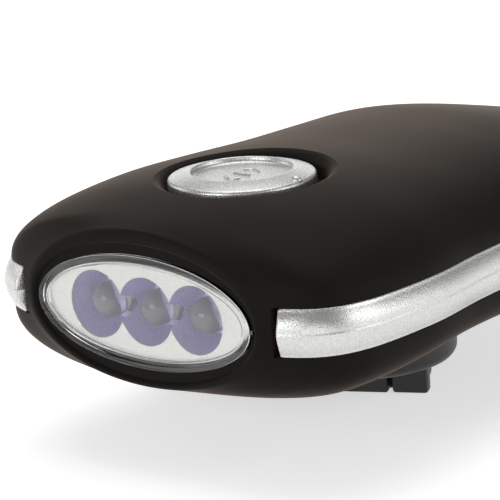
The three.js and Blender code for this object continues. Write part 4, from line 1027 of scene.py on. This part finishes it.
# %% Crank disc, lug and hinge pin
def crank_disc():
    r, edge = ROTOR["radius"], ROTOR["edge"]
    profile = [(0, rotor_bottom), (r - edge, rotor_bottom)]
    profile += arc((r - edge, rotor_bottom + edge), edge, -80, 0, 10)
    upper_edge = [(r, rotor_top - 0.3), (r - 0.1, rotor_top - 0.08), (r - 0.3, rotor_top)]
    shaft, shaft_top = ROTOR["shaft"], ROTOR["shaft_top"]
    profile += [*upper_edge, (shaft, rotor_top), (shaft, shaft_top), (0, shaft_top)]
    return turned("crank_disc", profile, (0, 0), 128)


disc = crank_disc()
lug_corner = (lug_front, half_width_arm, rotor_bottom + LUG["sunk"])
lug = block((lug_back, LUG["inner"], arm_bottom), lug_corner, LUG["bevel"])
carve(disc, lug, "UNION")
carve(disc, hinge_rod("hinge_bore", HINGE_PIN["bore"], LUG["inner"] - 1, pin_end))
turn_crank(disc)
smooth(disc, 30)
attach(disc, "crank")
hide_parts("crank_rotor")

head_near = ARM["tongue"][0] - HINGE_PIN["gap"]
head_far = head_near - HINGE_PIN["head_height"]
stem_ends = (head_near + head_far) / 2, pin_end - HINGE_PIN["gap"]
hinge_pin = hinge_rod("hinge_pin_round", HINGE_PIN["radius"], *stem_ends)
head = hinge_rod("pin_head", HINGE_PIN["head"], head_far, head_near)
round_edges(head, 0.2)
carve(hinge_pin, head, "UNION")
turn_crank(hinge_pin)
print("lug from", round(lug_back, 1), "to", round(lug_front, 1), "mm")

# %% Arm
GROOVE = {"start": 4, "half_width": 2.2, "depth": 0.8, "bevel": 0.3}
KNOB_BORE = {"radius": 1.5, "head": 2.4, "head_depth": 1.2}
knob_x = ARM["reach"] - ARM["hinge"]
arm_start = lug_front + LUG["shoulder"]
half_turn = np.linspace(-np.pi / 2, np.pi / 2, 33)
round_end = zip(
    knob_x + half_width_arm * np.cos(half_turn), half_width_arm * np.sin(half_turn)
)
outline = [(arm_start, half_width_arm), (arm_start, -half_width_arm), *round_end]
arm = loft("crank_bar", [[(x, y, z) for x, y in outline] for z in (arm_bottom, arm_top)])
round_edges(arm, 0.4, 3, 50)
groove_end = (knob_x - half_width_arm, GROOVE["half_width"], arm_bottom + GROOVE["depth"])
groove_start = (arm_start + GROOVE["start"], -GROOVE["half_width"], arm_bottom - 1)
carve(arm, block(groove_start, groove_end, GROOVE["bevel"]))
far, near = ARM["tongue"]
tongue = block((-ARM["hinge"], far, arm_bottom), (arm_start + 1, near, arm_top))
carve(tongue, hinge_rod("tongue_end", half_arm, far, near), "UNION")
carve(arm, tongue, "UNION")
carve(arm, hinge_rod("tongue_bore", HINGE_PIN["bore"], -ARM["width"], ARM["width"]))
carve(arm, pin("pin_bore", (knob_x, 0), KNOB_BORE["radius"], arm_bottom - 1, arm_top + 1))
head_top = arm_bottom + KNOB_BORE["head_depth"]
carve(arm, pin("head_bore", (knob_x, 0), KNOB_BORE["head"], arm_bottom - 1, head_top, 48))
turn_crank(arm)
print("crank arm reaches", ARM["reach"], "mm from its hinge")

# %% [markdown]
# The knob is waisted so that two fingers hold it, and its ends are rounded. It spins on a pin with
# a wide head at both ends, which sits flush in the knob and in the arm.

# %% Profiles of the knob and its pin
KNOB = {
    "radius": 5.2, "height": 7.2, "waist": 0.5, "bore": 1.55, "gap": 0.3, "corner": 0.12,
    "edge": 0.4, "lip": 2.45, "sunk": 1.2,
}
KNOB_PIN = {"head": 2.1, "height": 0.9, "stem": 1.2, "edge": 0.3, "sunk": 0.05}
knob_bottom = arm_top + KNOB["gap"]
knob_top = knob_bottom + KNOB["height"]


def knob_profile():
    radius, lip, bore = KNOB["radius"], KNOB["lip"], KNOB["bore"]
    corner, flat, floor = radius - KNOB["corner"], radius - KNOB["edge"], knob_top - KNOB["sunk"]

    def waist(share):
        drawn_in = KNOB["waist"] * math.sin(math.pi * share) ** 2
        return radius - drawn_in, knob_bottom + KNOB["height"] * share

    return [
        (flat, knob_bottom), (corner, knob_bottom + KNOB["corner"]),
        *map(waist, np.linspace(0.06, 0.94, 16)),
        (corner, knob_top - KNOB["corner"]), (flat, knob_top), (lip, knob_top), (lip, floor),
        (bore, floor), (bore, knob_bottom),
    ]


def knob_pin_profile():
    head, stem, edge, high = (KNOB_PIN[size] for size in ("head", "stem", "edge", "height"))
    low = arm_bottom + KNOB_PIN["sunk"]
    return [
        (0, low), (head - edge, low), (head, arm_bottom + edge), (head, arm_bottom + high),
        (stem, arm_bottom + high), (stem, knob_top - high), (head, knob_top - high),
        (head, knob_top - edge), (head - edge, knob_top), (0, knob_top),
    ]


print("knob from", round(knob_bottom, 1), "to", round(knob_top, 1), "mm")

# %% Knob and its pin
knob = turn_crank(turned("knob_round", knob_profile(), (knob_x, 0), 72, closed=True))
knob_pin = turn_crank(turned("knob_pin_round", knob_pin_profile(), (knob_x, 0), 48))
for piece, body, node, slot in (
    (hinge_pin, "crank", "hinge_pin", "steel"),
    (arm, "arm", "crank_arm", "black_plastic"),
    (knob, "knob", "crank_knob", "black_plastic"),
    (knob_pin, "arm", "knob_pin", "steel"),
):
    smooth(piece, 30)
    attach(piece, body)
    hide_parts(node)
print("knob:", KNOB["height"], "mm high")

# %% [markdown]
# Materials share a few effects, so each effect is a node group that is built once. Paint and
# moulded plastic both have a fine grain. The group gives a height for a Bump node and a value that
# varies the roughness, and each material places it with its own size and strength.

# %% Helpers for node groups
def set_inputs(node, values):
    for label, value in values.items():
        node.inputs[label.replace("_", " ")].default_value = value


def new_group(name, inputs, outputs):
    """A shader node group with named inputs (name, kind, value) and outputs (name, kind)."""
    group = bpy.data.node_groups.new(name, "ShaderNodeTree")
    for label, kind, value in inputs:
        group.interface.new_socket(label, in_out="INPUT", socket_type=kind).default_value = value
    for label, kind in outputs:
        group.interface.new_socket(label, in_out="OUTPUT", socket_type=kind)
    return group, group.nodes.new("NodeGroupInput"), group.nodes.new("NodeGroupOutput")


def noise_in(group, scale, **settings):
    """Noise that is fixed to the piece, in a group. Its scale comes from a socket."""
    place = group.nodes.new("ShaderNodeTexCoord")
    noise = group.nodes.new("ShaderNodeTexNoise")
    set_inputs(noise, settings)
    group.links.new(place.outputs["Object"], noise.inputs["Vector"])
    group.links.new(scale, noise.inputs["Scale"])
    return noise.outputs["Fac"]


print("helpers for groups:", new_group.__name__, noise_in.__name__)

# %% Shared grain group
def grain_group():
    group, given, result = new_group(
        "fine grain",
        [
            ("Grain per Metre", "NodeSocketFloat", 4000.0),
            ("Roughness Low", "NodeSocketFloat", 0.4),
            ("Roughness High", "NodeSocketFloat", 0.5),
        ],
        [("Height", "NodeSocketFloat"), ("Roughness", "NodeSocketFloat")],
    )
    links = group.links
    grain = noise_in(group, given.outputs["Grain per Metre"], Detail=3.0, Roughness=0.6)
    spread = group.nodes.new("ShaderNodeMapRange")
    set_inputs(spread, {"From Min": 0.3, "From Max": 0.7})
    links.new(grain, spread.inputs["Value"])
    links.new(given.outputs["Roughness Low"], spread.inputs["To Min"])
    links.new(given.outputs["Roughness High"], spread.inputs["To Max"])
    links.new(grain, result.inputs["Height"])
    links.new(spread.outputs["Result"], result.inputs["Roughness"])
    return group


GRAIN = grain_group()
print("group:", GRAIN.name)

# %% Shared colour variation group
def tone_group():
    """Drifts slowly between two close colours, as paint and dyed plastic do."""
    group, given, result = new_group(
        "tone drift",
        [
            ("Colour A", "NodeSocketColor", (0.5, 0.5, 0.5, 1)),
            ("Colour B", "NodeSocketColor", (0.6, 0.6, 0.6, 1)),
            ("Patches per Metre", "NodeSocketFloat", 60.0),
        ],
        [("Colour", "NodeSocketColor")],
    )
    links = group.links
    patches = noise_in(group, given.outputs["Patches per Metre"], Detail=4.0)
    mix = group.nodes.new("ShaderNodeMix")
    mix.data_type = "RGBA"
    links.new(patches, mix.inputs["Factor"])
    links.new(given.outputs["Colour A"], mix.inputs["A"])
    links.new(given.outputs["Colour B"], mix.inputs["B"])
    links.new(mix.outputs["Result"], result.inputs["Colour"])
    return group


TONE = tone_group()
print("group:", TONE.name)

# %% [markdown]
# One recipe serves most finishes: the tone group feeds the colour, the grain group feeds the
# roughness and a Bump node. What is the same all over a surface is set on the shader itself.

# %% The common recipe
def new_material(name):
    """A material, with its nodes, links and main shader to work on."""
    material = bpy.data.materials.new(name)
    material.use_nodes = True
    tree = material.node_tree
    return material, tree.nodes, tree.links, tree.nodes["Principled BSDF"]


def place_group(material, group, **values):
    node = material.node_tree.nodes.new("ShaderNodeGroup")
    node.node_tree = group
    set_inputs(node, values)
    return node


def finish(name, tone, roughness, grain=4000.0, bump=0.02, patches=60.0, **constants):
    """A material from two tones, a span of roughness and the size and depth of its grain."""
    material, nodes, links, shader = new_material(name)
    set_inputs(shader, constants)
    first, second = ((*colour, 1) for colour in tone)
    low, high = roughness
    tones = place_group(material, TONE, Colour_A=first, Colour_B=second, Patches_per_Metre=patches)
    grains = place_group(
        material, GRAIN, Grain_per_Metre=grain, Roughness_Low=low, Roughness_High=high
    )
    relief = nodes.new("ShaderNodeBump")
    set_inputs(relief, {"Distance": bump * MM})
    links.new(tones.outputs["Colour"], shader.inputs["Base Color"])
    links.new(grains.outputs["Roughness"], shader.inputs["Roughness"])
    links.new(grains.outputs["Height"], relief.inputs["Height"])
    links.new(relief.outputs["Normal"], shader.inputs["Normal"])
    return material


def dress(material, *pieces):
    for piece in pieces:
        piece.data.materials.clear()
        piece.data.materials.append(material)


print("helpers for materials:", finish.__name__, dress.__name__)

# %% [markdown]
# The housings have a soft-touch coating. It is nearly black and a little warm, it scatters light
# instead of mirroring it, and at grazing angles it turns brownish. A weak tinted sheen does that.

# %% Soft black coating and black plastic
soft_black = finish(
    "soft touch black", ((0.0100, 0.0088, 0.0072), (0.0122, 0.0108, 0.0090)),
    (0.46, 0.54), 9000.0, 0.004, Specular_IOR_Level=0.05,
    Sheen_Weight=0.19, Sheen_Roughness=0.30, Sheen_Tint=(0.88, 0.54, 0.32, 1),
)
dress(soft_black, upper, lower)
black_plastic = finish(
    "moulded black plastic", ((0.012, 0.0115, 0.011), (0.016, 0.0155, 0.015)),
    (0.36, 0.48), 6000.0, 0.01,
)
dress(black_plastic, disc, arm, knob)
print("black finishes made")

# %% [markdown]
# The trim and the button carry the same satin silver paint. Its flakes show as a fine grain, which
# needs both a bump and a lively roughness.

# %% Satin silver paint
silver = finish(
    "satin silver paint", ((0.44, 0.44, 0.425), (0.84, 0.84, 0.815)),
    (0.23, 0.34), 4600.0, 0.04, 4000.0, Metallic=0.85,
)
dress(silver, button, *trims)
print("silver finish made")

# %% [markdown]
# The lens cover is a Principled shader with full transmission. The lamps' epoxy is a little milky,
# so it has less. A trace of unevenness in the surface, far smaller than one can feel, keeps the
# highlights from looking computed.

# %% Clear lens and epoxy
clear_plastic = finish(
    "clear lens plastic", ((0.97, 0.975, 0.98), (0.98, 0.985, 0.99)),
    (0.0, 0.03), 500.0, 0.002, 80.0, Transmission_Weight=1.0, IOR=1.49,
)
dress(clear_plastic, lens_cover)
# Painted reflection: the epoxy's faint lilac tint stands in for the lilac cup walls seen in the
# lamps.
epoxy = finish(
    "clear lamp epoxy", ((0.86, 0.83, 0.92), (1.0, 0.99, 1.0)),
    (0.0, 0.03), 1600.0, 0.012, 900.0, Transmission_Weight=0.82, IOR=1.53,
)
dress(epoxy, *lamp_bodies)
print("clear finishes made")

# %% [markdown]
# The reflector has two coatings: a light grey plating on the flat plate, and in the cups one that
# scatters more. Its lilac colour in the cups is a painted reflection of the lamps' phosphor and the
# sky. The depth behind the plate's face tells them apart, so the shader reads the place along Y and
# switches over just inside the lip.

# %% Plated reflector
def plated():
    material = finish(
        "plated plate and cups", ((0.70, 0.70, 0.66), (0.76, 0.76, 0.72)),
        (0.24, 0.36), 4600.0, 0.020, 90.0,
    )
    nodes, links = material.node_tree.nodes, material.node_tree.links
    shader = nodes["Principled BSDF"]
    grey = shader.inputs["Base Color"].links[0].from_socket
    place = nodes.new("ShaderNodeTexCoord")
    split = nodes.new("ShaderNodeSeparateXYZ")
    mask = nodes.new("ShaderNodeMapRange")
    face = (PLATE_FRONT + FRONT) * MM
    set_inputs(mask, {"From Min": face + 0.08 * MM, "From Max": face + 0.30 * MM})
    # Painted reflection: the cups' lilac colour stands in for the lamps' phosphor and the sky
    # mirrored in them.
    lilac = place_group(
        material, TONE, Patches_per_Metre=3000.0,
        Colour_A=(0.69, 0.62, 1.0, 1), Colour_B=(0.86, 0.80, 1.0, 1),
    )
    mix = nodes.new("ShaderNodeMix")
    mix.data_type = "RGBA"
    links.new(place.outputs["Object"], split.inputs["Vector"])
    links.new(split.outputs["Y"], mask.inputs["Value"])
    links.new(mask.outputs["Result"], mix.inputs["Factor"])
    links.new(grey, mix.inputs["A"])
    links.new(lilac.outputs["Colour"], mix.inputs["B"])
    links.new(mix.outputs["Result"], shader.inputs["Base Color"])
    metal = nodes.new("ShaderNodeMapRange")
    set_inputs(metal, {"To Min": 0.85, "To Max": 0.3})
    links.new(mask.outputs["Result"], metal.inputs["Value"])
    links.new(metal.outputs["Result"], shader.inputs["Metallic"])
    return material


dress(plated(), reflector)
# Painted reflection: the leads' slight lilac tint stands in for the lilac cups mirrored in the
# posts.
lead_tones_and_reflection = (0.86, 0.84, 0.88), (0.94, 0.92, 0.95)
dress(finish("lamp leads", lead_tones_and_reflection, (0.3, 0.45), 3000.0, 0.005, Metallic=0.2), *lamp_frames)
chip_tones = (0.86, 0.80, 0.56), (0.90, 0.85, 0.64)
dress(finish("lamp chip", chip_tones, (0.5, 0.6), 3000.0, 0.01), *lamp_chips)
print("reflector finish made")

# %% [markdown]
# The inner pieces stay as the solids that the model brings. They are hidden, but whoever opens the
# torch should find every one in its proper finish, so a small table maps the record's slots to
# materials. Only the lamp board differs from its slot: it is white, as it can be seen in the cups.

# %% Finishes of the inner pieces
INNER = {  # by slot: name, two tones, span of roughness, grain per metre, bump, patches per metre
    "circuit_board": (
        "green solder resist", ((0.02, 0.12, 0.05), (0.03, 0.16, 0.07)),
        (0.3, 0.42), 3000.0, 0.01, 300.0,
    ),
    "white_nylon": (
        "natural moulded plastic", ((0.72, 0.69, 0.60), (0.78, 0.76, 0.68)),
        (0.4, 0.5), 2500.0, 0.01,
    ),
    "cell_sleeve": (
        "green shrink sleeve", ((0.07, 0.30, 0.08), (0.10, 0.38, 0.11)),
        (0.25, 0.4), 1500.0, 0.01,
    ),
    "steel": (
        "plated steel", ((0.50, 0.50, 0.50), (0.60, 0.60, 0.59)),
        (0.24, 0.38), 2500.0, 0.006,
    ),
    "magnet": (
        "bare ferrite", ((0.03, 0.03, 0.032), (0.05, 0.05, 0.055)),
        (0.5, 0.65), 3500.0, 0.02,
    ),
    "copper": (
        "enamelled copper", ((0.60, 0.22, 0.08), (0.70, 0.30, 0.12)),
        (0.25, 0.4), 4000.0, 0.02,
    ),
    "red_plastic": (
        "red wire insulation", ((0.45, 0.03, 0.02), (0.52, 0.05, 0.03)),
        (0.35, 0.45), 3000.0, 0.01,
    ),
}
METALS = {"steel": 1.0, "copper": 0.9}
inner = {slot: finish(*look, Metallic=METALS.get(slot, 0.0)) for slot, look in INNER.items()}
inner.update(black_plastic=black_plastic, soft_black=soft_black, satin_silver=silver)
slot_of = {row["node"]: row["material_slot"] for row in frame["record"]["subparts"]}
for node_name, node in frame["nodes"].items():
    if slot_of[node_name] in inner:
        dress(inner[slot_of[node_name]], node)
dress(inner["steel"], hinge_pin, knob_pin)
white_tones = (0.76, 0.76, 0.74), (0.82, 0.82, 0.80)
white_resist = finish("white solder resist", white_tones, (0.3, 0.42), 3000.0, 0.01)
dress(white_resist, frame["nodes"]["lamp_board"])
print("inner finishes:", len(inner))

# %% [markdown]
# The stage is plain: a pale floor, and a low ring round it that hides the floor's far edge. Both
# add a little light of their own for camera rays, so they turn white in the picture, but the floor
# keeps the soft shadow under the torch.

# %% A pale piece of the stage
FLOOR = {"reach": 6.0, "below": 0.02 * MM, "glow": 0.58}  # metres, as all sizes of the stage
BACKDROP = {"radius": 2.5, "below": 0.001, "top": 0.3, "glow": 0.6, "steps": 96}
PALE = {"Base Color": (0.8, 0.8, 0.8, 1), "Roughness": 0.9}
base = cad_box[0][2]


def stage_piece(name, points, faces, strength, **constants):
    """A pale piece that adds light to what camera, glossy and clear rays see of it."""
    mesh = bpy.data.meshes.new(name)
    mesh.from_pydata(points, [], faces)
    piece = add(name, mesh)
    material, nodes, links, shader = new_material(f"pale {name}")
    set_inputs(shader, {**PALE, **constants})
    rays = nodes.new("ShaderNodeLightPath")
    seen = rays.outputs["Is Camera Ray"]
    for label in ("Is Glossy Ray", "Is Transmission Ray"):
        more = nodes.new("ShaderNodeMath")
        more.operation = "MAXIMUM"
        links.new(seen, more.inputs[0])
        links.new(rays.outputs[label], more.inputs[1])
        seen = more.outputs["Value"]
    gain = nodes.new("ShaderNodeMath")
    gain.operation = "MULTIPLY"
    gain.inputs[1].default_value = strength
    glow = nodes.new("ShaderNodeEmission")
    both = nodes.new("ShaderNodeAddShader")
    links.new(seen, gain.inputs[0])
    links.new(gain.outputs["Value"], glow.inputs["Strength"])
    links.new(shader.outputs["BSDF"], both.inputs[0])
    links.new(glow.outputs["Emission"], both.inputs[1])
    links.new(both.outputs["Shader"], nodes["Material Output"].inputs["Surface"])
    mesh.materials.append(material)
    return piece


print("floor below the torch at", round(base, 4), "m")

# %% Floor and backdrop
reach, radius, steps = FLOOR["reach"], BACKDROP["radius"], BACKDROP["steps"]
corners = [(x * reach, y * reach, 0) for x, y in ((-1, -1), (1, -1), (1, 1), (-1, 1))]
floor = stage_piece("floor", corners, [(0, 1, 2, 3)], FLOOR["glow"], Specular_IOR_Level=0.1)
floor.location.z = base - FLOOR["below"]
foot = base - BACKDROP["below"]
low_ring = [(radius * math.cos(a), radius * math.sin(a), foot) for a in full_turn(steps)]
high_ring = [(x, y, BACKDROP["top"]) for x, y, _ in low_ring]
walls = [(i, (i + 1) % steps, steps + (i + 1) % steps, steps + i) for i in range(steps)]
stage_piece("backdrop", low_ring + high_ring, walls, BACKDROP["glow"])
print("floor and backdrop set")

# %% [markdown]
# Eight soft lights stand round the torch. The front, top and side lights shape it, the low ones
# put the bands along the silver strips, and the back lights draw the edge of the dark body.

# %% World and lights
WORLD_LIGHT = 0.25
AIM = (0, 0, 0.02)
SOFTBOXES = (  # name, place and size in metres, power in watts
    ("top light", (-0.1, 0.1, 0.75), (0.7, 0.7), 2.7),
    ("left light", (-0.8, -0.2, 0.35), (0.5, 0.4), 0.8),
    ("front light", (-0.05, -1.1, 0.36), (0.7, 0.4), 3.3),
    ("back light", (-0.75, 0.9, 0.34), (0.9, 0.5), 1.3),
    ("high back light", (-0.45, 0.6, 0.65), (0.5, 0.4), 0.15),
    ("low front light", (0.74, -0.84, 0.13), (0.5, 0.2), 0.6),
    ("side light", (1.0, 0.25, 0.42), (0.55, 0.55), 2.2),
    ("right back light", (0.85, 0.6, 0.22), (0.35, 0.3), 0.5),
)
world = bpy.data.worlds.new("studio")
bpy.context.scene.world = world
world.use_nodes = True
set_inputs(world.node_tree.nodes["Background"], {"Color": (1, 1, 1, 1), "Strength": WORLD_LIGHT})
for name, place, size, power in SOFTBOXES:
    light = bpy.data.lights.new(name, "AREA")
    light.shape = "RECTANGLE"
    light.size, light.size_y = size
    light.energy = power
    holder = add(name, light)
    holder.location = place
    direction = Vector(AIM) - Vector(place)
    holder.rotation_euler = direction.to_track_quat("-Z", "Y").to_euler()
bpy.context.scene.view_settings.view_transform = "Standard"
print("soft lights:", len(SOFTBOXES))

# %% End of the scene
print("scene set up")
